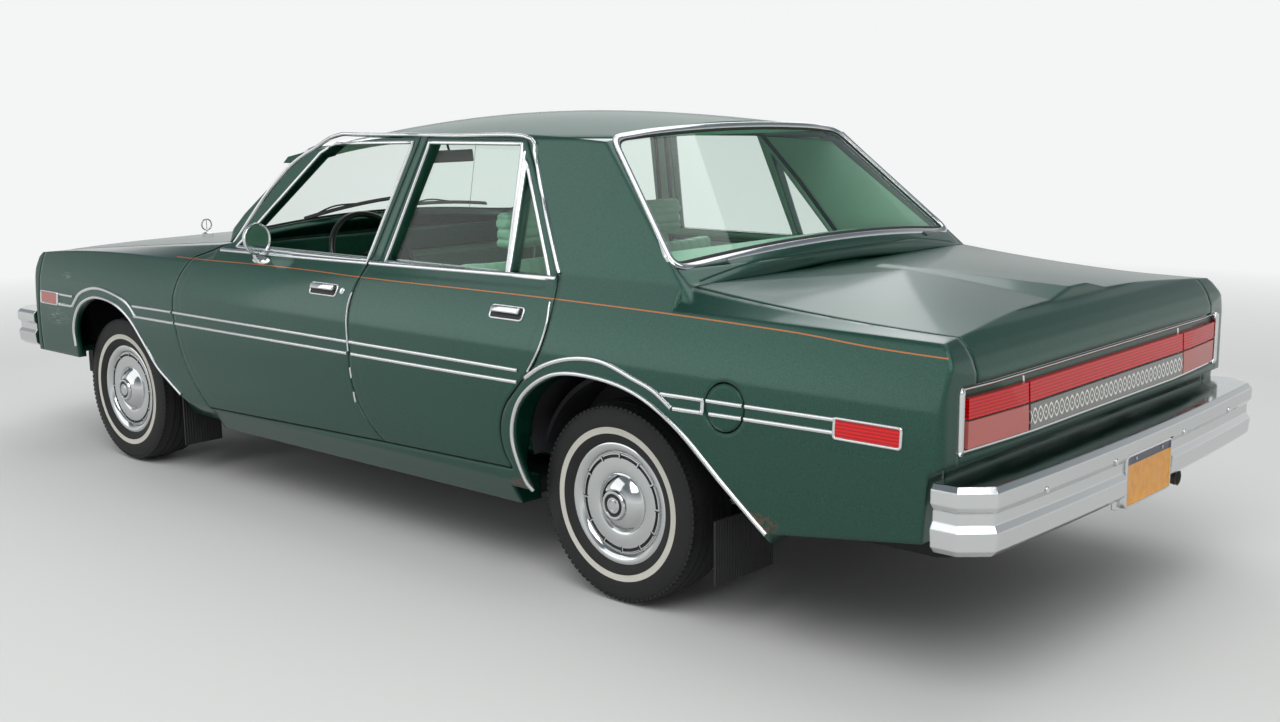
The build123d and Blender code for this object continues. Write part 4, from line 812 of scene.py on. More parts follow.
# Rear wheelhouse liners: dark walls behind the arches, from the lip to the inner wheelhouse
linerFit = {"outside": 0.826, "inside": 0.612, "inner": 0.350, "past": 0.014, "thick": 0.003}
axle = Vector((wheelCentres["rear"], 0, axleHeight))
for side, sign in sides:
    rings = []
    for point in smoothPoints(flank(archLip), 0.03):
        away = (point - axle).normalized()
        reach = (point - axle).length + linerFit["past"]
        wall = linerFit["inside"] - linerFit["thick"]
        section = [(reach, linerFit["outside"]), (reach + linerFit["thick"], linerFit["outside"]),
                   (reach + linerFit["thick"], wall), (linerFit["inner"], wall),
                   (linerFit["inner"], linerFit["inside"]), (reach, linerFit["inside"])]
        rings.append([axle + away * radius + Vector((0, sign * y, 0)) for radius, y in section])
    skinPiece(f"wheelhouse_liner_{side}", rings, material=underPaint, slotName="under_paint")

# Drip rails along the edges of the roof, down both pillars
dripRows = [(0.832, 0.969), (0.600, 1.258), (0.404, 1.371), (0.290, 1.4085), (0.168, 1.4105), (-0.312, 1.4105),
            (-0.690, 1.4105), (-0.760, 1.345), (-0.833, 1.224), (-0.982, 0.998)]
for side, sign in sides:
    places = layPath(surfaceTree(["roof_panel", f"body_side_{side}"]), smoothPoints(flank(dripRows), 0.02),
                     Vector((0, -sign, 0)), False, 1.3, 0.010)[0]
    outward = Vector((0, sign * 0.85, 0.53))
    sweptPiece(f"drip_rail_{side}", places, [outward] * len(places), crownSection(0.013, 0.009, 0.004))
print("window trim laid")


# Rings, tubes and rounded blocks that the fittings are made from

def axesAt(place, x, y, z):
    return Matrix.Translation(place) @ Matrix((x, y, z)).transposed().to_4x4()


def axisFrame(centre, axis):
    z = axis.normalized()
    x = Vector((0, 0, 1)).cross(z)
    x = (x if x.length > 1e-6 else forward.copy()).normalized()
    return axesAt(centre, x, z.cross(x), z)


def lathe(mesh, profile, segments, frameMatrix=Matrix.Identity(4), wrapped=False):
    # The profile's rows are each the place along the axis and the radius
    rings = []
    for step in range(segments):
        angle = 2 * pi * step / segments
        rings.append([frameMatrix @ Vector((radius * cos(angle), radius * sin(angle), along))
                      for along, radius in profile])
    joinRings(mesh, rings, True, wrapped)
    bmesh.ops.remove_doubles(mesh, verts=mesh.verts, dist=1e-6)


def tube(mesh, points, radius, count=10):
    normals = []
    for index, point in enumerate(points):
        along = points[min(index + 1, len(points) - 1)] - points[max(index - 1, 0)]
        reference = Vector((0, 0, 1)) if abs(along.normalized().z) < 0.9 else forward
        normals.append(along.cross(reference).normalized())
    sweepStrip(mesh, points, normals, roundSection(radius, count))


def roundedBlock(mesh, frameMatrix, size, radius, segments=3):
    made = bmesh.ops.create_cube(mesh, size=1.0, matrix=frameMatrix @ Matrix.Diagonal((*size, 1.0)))
    edges = list({edge for vertex in made["verts"] for edge in vertex.link_edges})
    bmesh.ops.bevel(mesh, geom=edges, offset=radius, segments=segments, affect="EDGES", profile=0.5)


# Repeats: one tree sets copies of a piece round a ring, or in a row, and gives them their finish
def repeatTree(name, ring):
    tree = bpy.data.node_groups.new(name, "GeometryNodeTree")
    sockets = {label: tree.interface.new_socket(label, in_out="INPUT", socket_type=kind)
               for label, kind in (("Piece", "NodeSocketObject"), ("Count", "NodeSocketInt"),
                                   ("Reach", "NodeSocketFloat"), ("Finish", "NodeSocketMaterial"))}
    tree.interface.new_socket("Geometry", in_out="OUTPUT", socket_type="NodeSocketGeometry")
    given = addNode(tree, "NodeGroupInput").outputs
    piece = addNode(tree, "GeometryNodeObjectInfo", {"Object": given["Piece"]}).outputs["Geometry"]
    inputs = {"Instance": piece}
    if ring:
        places = addNode(tree, "GeometryNodeMeshCircle", {"Vertices": given["Count"], "Radius": given["Reach"]})
        index = Field(addNode(tree, "GeometryNodeInputIndex").outputs[0])
        turn = index * (2 * pi / Field(given["Count"]))
        inputs["Rotation"] = addNode(tree, "ShaderNodeCombineXYZ", {"Z": turn}).outputs[0]
    else:
        step = addNode(tree, "ShaderNodeCombineXYZ", {"X": given["Reach"]}).outputs[0]
        places = addNode(tree, "GeometryNodeMeshLine", {"Count": given["Count"], "Offset": step})
    inputs["Points"] = places.outputs["Mesh"]
    copies = addNode(tree, "GeometryNodeInstanceOnPoints", inputs).outputs["Instances"]
    solid = addNode(tree, "GeometryNodeRealizeInstances", {"Geometry": copies}).outputs[0]
    finished = addNode(tree, "GeometryNodeSetMaterial", {"Geometry": solid, "Material": given["Finish"]})
    addNode(tree, "NodeGroupOutput", {0: finished.outputs[0]})
    return tree, sockets


ringRepeat = repeatTree("copiesRoundRing", True)
rowRepeat = repeatTree("copiesInRow", False)


def repeated(treeAndSockets, pieceMesh, count, reach, material):
    tree, sockets = treeAndSockets
    source = bpy.data.objects.new("repeat_source", pieceMesh)
    holder = bpy.data.objects.new("repeat_holder", bpy.data.meshes.new("repeat_holder"))
    for item in (source, holder):
        bpy.context.scene.collection.objects.link(item)
    modifier = holder.modifiers.new("repeat", "NODES")
    modifier.node_group = tree
    for label, value in (("Piece", source), ("Count", count), ("Reach", reach), ("Finish", material)):
        modifier[sockets[label].identifier] = value
    made = bpy.data.meshes.new_from_object(holder.evaluated_get(bpy.context.evaluated_depsgraph_get()))
    bpy.data.objects.remove(holder)
    bpy.data.objects.remove(source)
    return made


def meshOf(mesh, name):
    data = bpy.data.meshes.new(name)
    mesh.to_mesh(data)
    mesh.free()
    return data


def addMesh(target, data, frameMatrix=Matrix.Identity(4)):
    data.transform(frameMatrix)
    target.from_mesh(data)
    bpy.data.meshes.remove(data)


def wheelFrame(end, sign):
    return axisFrame(Vector((wheelCentres[end], sign * wheelSpots[end], axleHeight)), Vector((0, sign, 0)))


# Tyres: grooved crown, shoulder lugs and moulded sidewalls on the form of the plain tyre
tyre = {"radius": 0.314, "lugs": 96, "lugWidth": 0.0145, "lugLength": 0.026, "lugRise": 0.004, "lugAcross": 0.077,
        "crown": [0.0, 0.018, 0.022, 0.045, 0.049, 0.064], "groove": 0.011, "wall": [
            (0.070, 0.179), (0.080, 0.186), (0.087, 0.198), (0.0945, 0.216), (0.0955, 0.220), (0.0955, 0.239),
            (0.0965, 0.241), (0.0975, 0.252), (0.0955, 0.272), (0.0925, 0.286), (0.089, 0.2965), (0.084, 0.3015)]}
half = list(tyre["wall"])
for index in (5, 3, 1):
    edge, inner = tyre["crown"][index], tyre["crown"][index - 1]
    half += [(across, tyre["radius"] - 0.0125 * (across / 0.086) ** 2 - 0.0008) for across in (edge, inner)]
    if index > 1:
        bottom = tyre["radius"] - tyre["groove"]
        half += [(inner - 0.0008, bottom), (tyre["crown"][index - 2] + 0.0008, bottom)]
tyreProfile = half + [(-along, radius) for along, radius in reversed(half) if along > 1e-6]
tyreProfile += [(-0.066, 0.1782), (0.066, 0.1782)]
lugMesh = bmesh.new()
roundedBlock(lugMesh, Matrix.Translation((tyre["radius"] - 0.0135, 0, 0)),
             (tyre["lugRise"] + 0.004, tyre["lugWidth"], tyre["lugLength"]), 0.0015, 1)
lugData = meshOf(lugMesh, "shoulder_lug")
for end in wheelCentres:
    for side, sign in sides:
        mesh = bmesh.new()
        lathe(mesh, tyreProfile, 96, wrapped=True)
        for across in (-tyre["lugAcross"], tyre["lugAcross"]):
            lugs = repeated(ringRepeat, lugData, tyre["lugs"], 1e-5, tyreRubber[end])
            addMesh(mesh, lugs, Matrix.Translation((0, 0, across)))
        mesh.transform(wheelFrame(end, sign))
        piece = finishPiece(mesh, f"tyre_tread_{end}_{side}", f"{end}_{side}_wheel", tyreRubber[end],
                            "tyre_rubber", 35)
        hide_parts(f"tyre_{end}_{side}")
print("tyres made")

# Wheel covers: domed bright pressing with a ring of pressed slots and a groove round a plain hub, both coloured
# near-black as painted shade
cover = {"slots": 12, "slotInner": 0.1415, "slotOuter": 0.1515, "slotDepth": 0.006, "segments": 144, "bridge": 0.06,
         "ringInner": 0.0255, "ringOuter": 0.0345, "frontFrom": 0.05, "ridgeRadius": 0.147, "profile": [
             (0.110, 0.0), (0.110, 0.015), (0.108, 0.018), (0.1075, 0.0245), (0.1035, 0.0255), (0.1035, 0.0345),
             (0.1085, 0.036), (0.1095, 0.040), (0.1085, 0.044), (0.104, 0.0475), (0.099, 0.0485), (0.0975, 0.051),
             (0.0955, 0.056), (0.0915, 0.064), (0.0855, 0.073), (0.0785, 0.081), (0.0725, 0.0865), (0.069, 0.090),
             (0.068, 0.0925), (0.070, 0.095), (0.0715, 0.0985), (0.0725, 0.104), (0.0732, 0.118), (0.073, 0.132),
             (0.0725, 0.1415), (0.0725, 0.1515), (0.072, 0.1545), (0.0685, 0.1565), (0.0685, 0.159),
             (0.0735, 0.1615), (0.0795, 0.167), (0.0835, 0.175), (0.0855, 0.183), (0.085, 0.1875), (0.0835, 0.190),
             (0.079, 0.1895), (0.075, 0.184), (0.0665, 0.176), (0.040, 0.150), (0.034, 0.100), (0.034, 0.0)]}
ridgeMesh = bmesh.new()
roundedBlock(ridgeMesh, Matrix.Translation((0, 0, 0.0724)), (0.017, 0.0035, 0.003), 0.001, 2)
ridgeData = meshOf(ridgeMesh, "cover_ridge")
for end in wheelCentres:
    for side, sign in sides:
        mesh = bmesh.new()
        lathe(mesh, cover["profile"], cover["segments"])
        slotFaces = []
        for face in mesh.faces:
            middle = face.calc_center_median()
            if middle.z < cover["frontFrom"]:
                continue
            radius = (middle.x ** 2 + middle.y ** 2) ** 0.5
            if cover["ringInner"] < radius < cover["ringOuter"]:
                face.material_index = 1
            share = (atan2(middle.y, middle.x) / (2 * pi) * cover["slots"]) % 1.0
            if cover["slotInner"] < radius < cover["slotOuter"] and share > cover["bridge"]:
                slotFaces.append(face)
        pressed = bmesh.ops.extrude_face_region(mesh, geom=slotFaces)["geom"]
        bmesh.ops.delete(mesh, geom=slotFaces, context="FACES_ONLY")
        bmesh.ops.translate(mesh, verts=[item for item in pressed if isinstance(item, bmesh.types.BMVert)],
                            vec=(0, 0, -cover["slotDepth"]))
        for item in pressed:
            if isinstance(item, bmesh.types.BMFace):
                item.material_index = 1
        addMesh(mesh, repeated(ringRepeat, ridgeData, cover["slots"], cover["ridgeRadius"], coverSteel))
        mesh.transform(wheelFrame(end, sign))
        piece = finishPiece(mesh, f"wheel_cover_{end}_{side}", f"{end}_{side}_wheel", coverSteel, "wheel_steel", 28)
        # The second finish is the near-black painted shade in the pressed slots and the groove round the hub
        piece.data.materials.append(recessShade)
print("wheel covers made")

# Bright frame round the tail lamps, with its dividing bars
tailTree = surfaceTree(["rear_lamps", "tail_panel"])
backward = -forward
tailFit = {"half": 0.829, "low": 0.652, "high": 0.815, "barTop": 0.7345, "barEnd": 0.815, "lensEdge": 0.5095,
           "lensLow": 0.660, "lensHigh": 0.806, "ahead": -2.36, "middleX": -2.40, "bow": 0.025}


def tailPoint(point):
    y, z = point.x, point.y
    hit = castFrom(tailTree, (-2.6, y, z), forward)
    onTail = hit and hit[0].x < tailFit["ahead"]
    return Vector((hit[0].x if onTail else tailFit["middleX"] - tailFit["bow"] * (1 - (y / 0.83) ** 2), y, z))


mesh = bmesh.new()
middle, halfTall = (tailFit["low"] + tailFit["high"]) / 2, (tailFit["high"] - tailFit["low"]) / 2
corners = boxCorners(tailFit["half"], halfTall, middle)
loop = [tailPoint(point) for point in straightPoints(roundedLoop(corners, 0.014), 0.03)]
sweepStrip(mesh, loop, [backward] * len(loop), crownSection(0.016, 0.009, 0.012), True)
edge, barEnd = tailFit["lensEdge"], tailFit["barEnd"]
for start, stop, width in (((-barEnd, tailFit["barTop"]), (barEnd, tailFit["barTop"]), 0.006),
                           ((edge, tailFit["lensLow"]), (edge, tailFit["lensHigh"]), 0.007),
                           ((-edge, tailFit["lensLow"]), (-edge, tailFit["lensHigh"]), 0.007)):
    run = [tailPoint(point) for point in straightPoints([Vector((*start, 0)), Vector((*stop, 0))], 0.03, False)]
    sweepStrip(mesh, run, [backward] * len(run), crownSection(width, 0.004, 0.014))
finishPiece(mesh, "rear_lamp_frame")

# Number plate with a pressed border, and its bright frame
plate = {"x": -2.5465, "z": 0.465, "wide": 0.305, "tall": 0.146, "frameX": -2.5300, "screwY": 0.089, "screwZ": 0.524}
outline = roundedLoop(boxCorners(plate["wide"] / 2, plate["tall"] / 2), 0.012)
rings = []
for depth, inset in ((0.0, 0.0), (0.0018, 0.0), (0.0024, 0.0015), (0.0024, 0.005), (0.0014, 0.007), (0.0014, 0.030)):
    shrinkY, shrinkZ = 1 - 2 * inset / plate["wide"], 1 - 2 * inset / plate["tall"]
    rings.append([(plate["x"] - depth, point.x * shrinkY, plate["z"] + point.y * shrinkZ) for point in outline])
skinPiece("number_plate", rings, material=plateEnamel, slotName="enamel")
rim = straightPoints([Vector((plate["frameX"], point.x, plate["z"] + point.y)) for point in outline], 0.02)
frameSection = [(-0.004, -0.001), (-0.004, 0.0185), (-0.001, 0.0205), (0.003, 0.0205), (0.003, -0.001)]
sweptPiece("number_plate_frame", rim, [backward] * len(rim), frameSection, True)

# Round bolt heads, copied in rows along each bumper
boltMesh = bmesh.new()
lathe(boltMesh, [(0.0, 0.0), (0.0, 0.0095), (0.002, 0.0095), (0.0045, 0.0075), (0.0055, 0.004), (0.0058, 0.0)], 20)
boltData = meshOf(boltMesh, "bolt_head")
bumperFit = {"front_bumper": {"faces": 1, "z": 0.553, "spots": (0.20, 0.62)},
             "rear_bumper": {"faces": -1, "z": 0.542, "spots": (0.235, 0.62)}}
for name, spec in bumperFit.items():
    bumperTree = surfaceTree([name])
    faces = spec["faces"]
    mesh = bmesh.new()
    for spot in spec["spots"]:
        row = repeated(rowRepeat, boltData, 2, 2 * spot, chrome)
        row.transform(Matrix.Translation((-spot, 0, 0)))
        place = castFrom(bumperTree, (faces * 2.9, spot, spec["z"]), forward * -faces)[0]
        turn = Matrix(((0, 0, faces), (faces, 0, 0), (0, 1, 0))).to_4x4()
        addMesh(mesh, row, Matrix.Translation((place.x, 0, place.z)) @ turn)
    finishPiece(mesh, f"{name}_bolts")

# Screw heads of the number plate
mesh = bmesh.new()
for y in (-plate["screwY"], plate["screwY"]):
    lathe(mesh, [(0.0, 0.0), (0.0, 0.0055), (0.0015, 0.0055), (0.003, 0.003), (0.003, 0.0)], 16,
          axisFrame(Vector((plate["x"] - 0.0012, y, plate["screwZ"])), backward))
finishPiece(mesh, "plate_screw_heads", "body", satinAlloy)

# Lip of the tailpipe, and a near-black disc across its mouth: soot, and painted shade of the hollow pipe
pipeFrame = axisFrame(Vector((-2.5, -0.341, 0.372)), backward)
mesh = bmesh.new()
lathe(mesh, [(0.0, 0.0235), (0.001, 0.0245), (0.0002, 0.0205), (-0.002, 0.0195), (-0.012, 0.0235)], 28, pipeFrame,
      True)
finishPiece(mesh, "tailpipe_lip", "body", pipeSteel, "pipe_steel")
mesh = bmesh.new()
lathe(mesh, [(0.0001, 0.0), (0.0001, 0.0198), (-0.001, 0.0198), (-0.001, 0.0)], 24, pipeFrame)
finishPiece(mesh, "tailpipe_mouth", "body", pipeSootAndShade, "pipe_steel")
print("rear fittings made")

# Door handles and locks: bright pull over a near-black slab that is painted shade of the handle's recess, each: place
# along, height, length
handleFit = {"front": (0.1355, 0.8695, 0.153), "rear": (-0.821, 0.8705, 0.148)}
lockPlace = (0.028, 0.871)
for end, (middleX, middleZ, long) in handleFit.items():
    for side, sign in sides:
        place, normal, owner = castSide(side, sign, middleX, middleZ)
        along = (forward - normal * normal.x).normalized()
        upward = normal.cross(along) * (1 if normal.cross(along).z > 0 else -1)
        handleFrame = axesAt(place, along, upward, normal)
        mesh = bmesh.new()
        rim = straightPoints(roundedLoop(boxCorners(long / 2, 0.021), 0.012), 0.01)
        sweepStrip(mesh, [handleFrame @ point for point in rim], [normal] * len(rim), crownSection(0.007, 0.004), True)
        for spot, size, radius in (((0, 0.006, 0.0125), (long - 0.020, 0.021, 0.010), 0.0045),
                                   ((0.017 - long / 2, 0.006, 0.006), (0.012, 0.017, 0.014), 0.003),
                                   ((long / 2 - 0.017, 0.006, 0.006), (0.012, 0.017, 0.014), 0.003)):
            roundedBlock(mesh, handleFrame @ Matrix.Translation(spot), size, radius)
        if end == "front":
            lock = castSide(side, sign, *lockPlace)
            lathe(mesh, [(-0.001, 0.0), (-0.001, 0.0125), (0.002, 0.0125), (0.004, 0.010), (0.0032, 0.008),
                         (0.0032, 0.0)], 28, axisFrame(lock[0], lock[1]))
        finishPiece(mesh, f"door_handle_{end}_{side}", bodyOf(owner))
        # Near-black slab under the pull: painted shade of the handle's recess
        mesh = bmesh.new()
        roundedBlock(mesh, handleFrame @ Matrix.Translation((0, 0, -0.001)), (long - 0.008, 0.036, 0.004), 0.0015, 1)
        finishPiece(mesh, f"handle_cup_{end}_{side}", bodyOf(owner), recessShade)
print("handles made")

# Bright frames round the side markers, each: back, front, low, high; and round the headlamps
markerFit = {"front": (2.066, 2.208, 0.655, 0.700), "rear": (-2.287, -2.095, 0.668, 0.712)}
lampRim = {"y": 0.610, "z": 0.700, "radius": 0.0965, "points": 72}
lampTree = surfaceTree(["nose_panel", "front_lamps", "front_fender_left", "front_fender_right"])
for side, sign in sides:
    for end, (back, front, low, high) in markerFit.items():
        grown = flank([(back - 0.004, low - 0.004), (front + 0.004, low - 0.004), (front + 0.004, high + 0.004),
                       (back - 0.004, high + 0.004)])
        hits = [castSide(side, sign, point.x, point.z) for point in straightPoints(roundedLoop(grown, 0.008), 0.012)]
        hits = [hit for hit in hits if hit and abs(hit[0].y) > 0.7]
        sweptPiece(f"marker_bezel_{end}_{side}", [hit[0] for hit in hits], [hit[1] for hit in hits],
                   crownSection(0.009, 0.007), True)
    places = []
    for y, z in roundSection(lampRim["radius"], lampRim["points"]):
        start = Vector((2.6, sign * lampRim["y"] + y, lampRim["z"] + z))
        hit = castFrom(lampTree, start, backward)
        places.append(hit[0] if hit else start)
    sweptPiece(f"headlamp_rim_{side}", places, [forward] * len(places), crownSection(0.014, 0.009, 0.004), True)

# Mirror on the left door: bright shell, glass facing back, curved stalk on an oval foot.
# The shell's profile gives depth and share of the oval's half width.
mirror = {"place": (0.556, 0.858, 1.024), "halfWide": 0.057, "halfTall": 0.061, "glassEdge": 0.9,
          "glassDepth": 0.0042, "footX": 0.576, "footZ": 0.940, "footSquash": 0.30, "profile": [
              (0.0035, 0.0), (0.0035, 0.90), (0.0, 0.94), (-0.003, 0.97), (0.0, 1.0), (0.010, 1.0), (0.022, 0.93),
              (0.034, 0.78), (0.043, 0.55), (0.048, 0.28), (0.050, 0.0)]}
mesh = bmesh.new()
mirrorFrame = axesAt(mirror["place"], Vector((0, mirror["halfWide"], 0)), Vector((0, 0, mirror["halfTall"])), forward)
lathe(mesh, mirror["profile"], 56, mirrorFrame)
intoOval = mirrorFrame.inverted()
for face in mesh.faces:
    spot = intoOval @ face.calc_center_median()
    if spot.z < mirror["glassDepth"] and spot.xy.length < mirror["glassEdge"]:
        face.material_index = 1
stalk = [Vector(place) for place in ((0.590, 0.852, 0.974), (0.591, 0.851, 0.958), (0.589, 0.846, 0.944),
                                     (0.584, 0.838, 0.934))]
tube(mesh, smoothPoints(stalk, 0.004), 0.0085, 14)
foot = castSide("left", 1, mirror["footX"], mirror["footZ"])
footFrame = axisFrame(foot[0], foot[1]) @ Matrix.Diagonal((1.0, mirror["footSquash"], 1.0, 1.0))
lathe(mesh, [(-0.001, 0.0), (-0.001, 0.056), (0.003, 0.056), (0.007, 0.045), (0.0085, 0.0)], 40, footFrame)
piece = finishPiece(mesh, "mirror_shell", "front_left_door")
piece.data.materials.append(mirrorGlass)
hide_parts("door_mirror")

# Hood ornament: a plain ring on a short post
ornament = {"x": 2.300, "ring": 0.027, "middle": 0.047, "points": 40, "post": (0.020, 0.047, 0.071)}
mesh = bmesh.new()
base = castFrom(surfaceTree(["hood", "nose_panel"]), (ornament["x"], 0, 1.2), down)[0]
lathe(mesh, [(-0.002, 0.0), (-0.002, 0.024), (0.003, 0.024), (0.008, 0.014), (0.012, 0.006), (0.022, 0.005),
             (0.022, 0.0)], 32, Matrix.Translation(base))
ring = [base + Vector((0, y, ornament["middle"] + z)) for y, z in roundSection(ornament["ring"], ornament["points"])]
sweepStrip(mesh, ring, [forward] * len(ring), [(-0.003, -0.0025), (-0.003, 0.0025), (0.003, 0.0025),
                                               (0.003, -0.0025)], True)
tube(mesh, [base + Vector((0, 0, height)) for height in ornament["post"]], 0.0022, 8)
finishPiece(mesh, "hood_ornament", "hood")

# Wipers parked at the foot of the windscreen
wiper = {"steps": 14, "footX": 0.90, "lean": 0.035, "pivotX": 0.945}
screenTree = surfaceTree(["windshield", "firewall", "roof_panel"])
for name, pivotY, tipY in (("wiper_left", 0.40, -0.06), ("wiper_right", -0.12, -0.58)):
    mesh = bmesh.new()
    pivot = castFrom(screenTree, (wiper["pivotX"], pivotY, 1.3), down)[0] + Vector((0, 0, 0.004))
    run = []
    for step in range(wiper["steps"] + 1):
        share = step / wiper["steps"]
        start = (wiper["footX"] - wiper["lean"] * share, pivotY + (tipY - pivotY) * share, 1.4)
        run.append(castFrom(screenTree, start, down)[0] + Vector((0.004, 0, 0.012)))
    sweepStrip(mesh, run, [Vector((0.7, 0, 0.7))] * len(run), [(-0.003, -0.012), (-0.003, 0.003), (0.003, 0.003),
                                                               (0.003, -0.012)])
    arm = smoothPoints([pivot, pivot + Vector((0, 0, 0.014)), run[4] + Vector((0.006, 0, 0.010)), run[8]], 0.01)
    tube(mesh, arm, 0.0035, 8)
    lathe(mesh, [(-0.004, 0.0), (-0.004, 0.013), (0.014, 0.010), (0.017, 0.0)], 20, Matrix.Translation(pivot))
    finishPiece(mesh, name, "body", blackRubber, "rubber")

# Aerial on the right fender
mesh = bmesh.new()
foot = castFrom(surfaceTree(["front_fender_right"]), (1.20, -0.765, 1.3), down)[0]
lathe(mesh, [(-0.002, 0.0), (-0.002, 0.017), (0.006, 0.016), (0.018, 0.008), (0.030, 0.005), (0.030, 0.0)], 24,
      Matrix.Translation(foot))
tube(mesh, [foot + Vector((-0.012 * step, 0, 0.028 + 0.062 * step)) for step in range(8)], 0.0016, 8)
finishPiece(mesh, "aerial")

# Inside mirror, hung from the windscreen header
mesh = bmesh.new()
mirrorSpot = Vector((0.430, 0, 1.305))
roundedBlock(mesh, Matrix.Translation(mirrorSpot) @ Matrix.Rotation(radians(8), 4, "Y"), (0.014, 0.235, 0.050), 0.006)
tube(mesh, [Vector((0.455, 0, 1.372)), Vector((0.450, 0, 1.345)), mirrorSpot + Vector((0.008, 0, 0.01))], 0.005)
finishPiece(mesh, "inside_mirror", "body", steeringPlastic, "dash_plastic")

# Chrome bars on the rear doors between the main and the vent panes
ventBar = {"low": (-0.7545, 0.992), "rise": (0.0535, 0.372), "steps": 24}
for side, sign in sides:
    hits = []
    for step in range(ventBar["steps"] + 1):
        share = step / ventBar["steps"]
        hit = castSide(side, sign, ventBar["low"][0] + ventBar["rise"][0] * share,
                       ventBar["low"][1] + ventBar["rise"][1] * share)
        if hit and hit[2] == f"door_rear_{side}":
            hits.append(hit)
    sweptPiece(f"vent_bar_{side}", [hit[0] for hit in hits], smoothNormals([hit[1] for hit in hits]),
               crownSection(0.014, 0.006), body=bodyOf(f"door_rear_{side}"))
print("small fittings made")

# Bench seats: each cushion is blown up as cloth from a smaller form, then gets its sewn channels.
# The rib number is the axis that the channels follow: 1 is across the car, 2 is upwards.
bench = {"voxel": 0.016, "frames": 20, "pressure": 4.0, "cap": 0.014, "fill": 0.6, "round": 0.014, "ribDepth": 0.006,
         "ribWidth": 0.006, "spacing": {1: 0.052, 2: 0.036}, "benchHalf": 0.676, "rearHalf": 0.586}
cushionRows = {
    "front_seat_cushion": {"node": "front_seat", "half": bench["benchHalf"], "rib": 1, "outline": [
        (0.178, 0.368), (0.204, 0.440), (0.180, 0.478), (-0.125, 0.448), (-0.160, 0.425), (-0.265, 0.405),
        (-0.265, 0.368)]},
    "front_seat_back": {"node": "front_seat", "half": bench["benchHalf"], "rib": 1, "outline": [
        (-0.185, 0.478), (-0.330, 0.965), (-0.352, 0.978), (-0.402, 0.982), (-0.415, 0.948), (-0.330, 0.452),
        (-0.300, 0.430), (-0.205, 0.438)]},
    "rear_seat_cushion": {"node": "rear_seat", "half": bench["rearHalf"], "rib": 1, "outline": [
        (-0.492, 0.330), (-0.478, 0.440), (-0.500, 0.474), (-0.800, 0.445), (-0.825, 0.420), (-0.825, 0.330)]},
    "rear_seat_back": {"node": "rear_seat", "half": bench["rearHalf"], "rib": 1, "outline": [
        (-0.857, 0.462), (-0.975, 0.918), (-1.002, 0.932), (-1.040, 0.926), (-1.046, 0.895), (-1.046, 0.492),
        (-0.950, 0.466)]},
}
restraint = {"middle": 0.350, "half": 0.124, "outline": [
    (-0.334, 1.012), (-0.334, 1.120), (-0.350, 1.138), (-0.394, 1.138), (-0.410, 1.120), (-0.410, 1.012)]}
for side, sign in sides:
    cushionRows[f"head_restraint_{side}"] = {"node": "front_seat", "half": restraint["half"], "rib": 2,
                                            "middle": sign * restraint["middle"], "outline": restraint["outline"]}


def applied(piece, kind, **settings):
    modifier = piece.modifiers.new(kind.lower(), kind)
    for key, value in settings.items():
        setattr(modifier, key, value)
    data = bpy.data.meshes.new_from_object(piece.evaluated_get(bpy.context.evaluated_depsgraph_get()))
    piece.modifiers.remove(modifier)
    piece.data = data


cushions = {}
for name, spec in cushionRows.items():
    mesh = bmesh.new()
    middle = spec.get("middle", 0.0)
    ends = [[mesh.verts.new((x, y, z)) for x, z in spec["outline"]]
            for y in (middle - spec["half"], middle + spec["half"])]
    mesh.faces.new(ends[0])
    mesh.faces.new(list(reversed(ends[1])))
    count = len(spec["outline"])
    for index in range(count):
        after = (index + 1) % count
        mesh.faces.new((ends[0][index], ends[1][index], ends[1][after], ends[0][after]))
    bmesh.ops.recalc_face_normals(mesh, faces=mesh.faces)
    bmesh.ops.bevel(mesh, geom=list(mesh.edges), offset=bench["round"], segments=2, affect="EDGES", profile=0.5)
    cushions[name] = bpy.data.objects.new(name, meshOf(mesh, name))
    bpy.context.scene.collection.objects.link(cushions[name])
for name, piece in cushions.items():
    applied(piece, "REMESH", mode="VOXEL", voxel_size=bench["voxel"] if "seat" in name else bench["voxel"] / 2)
starts = {name: [vertex.co.copy() for vertex in piece.data.vertices] for name, piece in cushions.items()}
for piece in cushions.values():
    cloth = piece.modifiers.new("cloth", "CLOTH")
    cloth.settings.use_pressure = True
    cloth.settings.uniform_pressure_force = bench["pressure"]
    cloth.settings.effector_weights.gravity = 0
for number in range(1, bench["frames"] + 1):
    bpy.context.scene.frame_set(number)
graph = bpy.context.evaluated_depsgraph_get()
for name, piece in cushions.items():
    blown = [vertex.co.copy() for vertex in piece.evaluated_get(graph).data.vertices]
    piece.modifiers.remove(piece.modifiers["cloth"])
    for vertex, start, end in zip(piece.data.vertices, starts[name], blown):
        move = end - start
        vertex.co = start + move * min(1.0, bench["cap"] / max(move.length, 1e-9))
bpy.context.scene.frame_set(1)
for name, piece in cushions.items():
    spec = cushionRows[name]
    applied(piece, "SUBSURF", levels=1, render_levels=1)
    data = piece.data
    spacing = bench["spacing"][spec["rib"]]
    shifts = []
    for vertex in data.vertices:
        normal = vertex.normal
        faced = max(normal.x, normal.z) if spec["rib"] == 1 else abs(normal.x) + abs(normal.y) * 0.7
        place = vertex.co[spec["rib"]] / spacing
        away = abs(place - round(place)) * spacing
        groove = bench["ribDepth"] * exp(-(away / bench["ribWidth"]) ** 2) * min(1.0, max(0.0, (faced - 0.25) * 3))
        shifts.append(normal * -groove)
    for vertex, shift in zip(data.vertices, shifts):
        vertex.co += shift
    for polygon in data.polygons:
        polygon.use_smooth = True
    data.materials.clear()
    data.materials.append(ribbedVinyl if spec["rib"] == 1 else plainVinyl)
    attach(piece, "body")
    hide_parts(spec["node"])

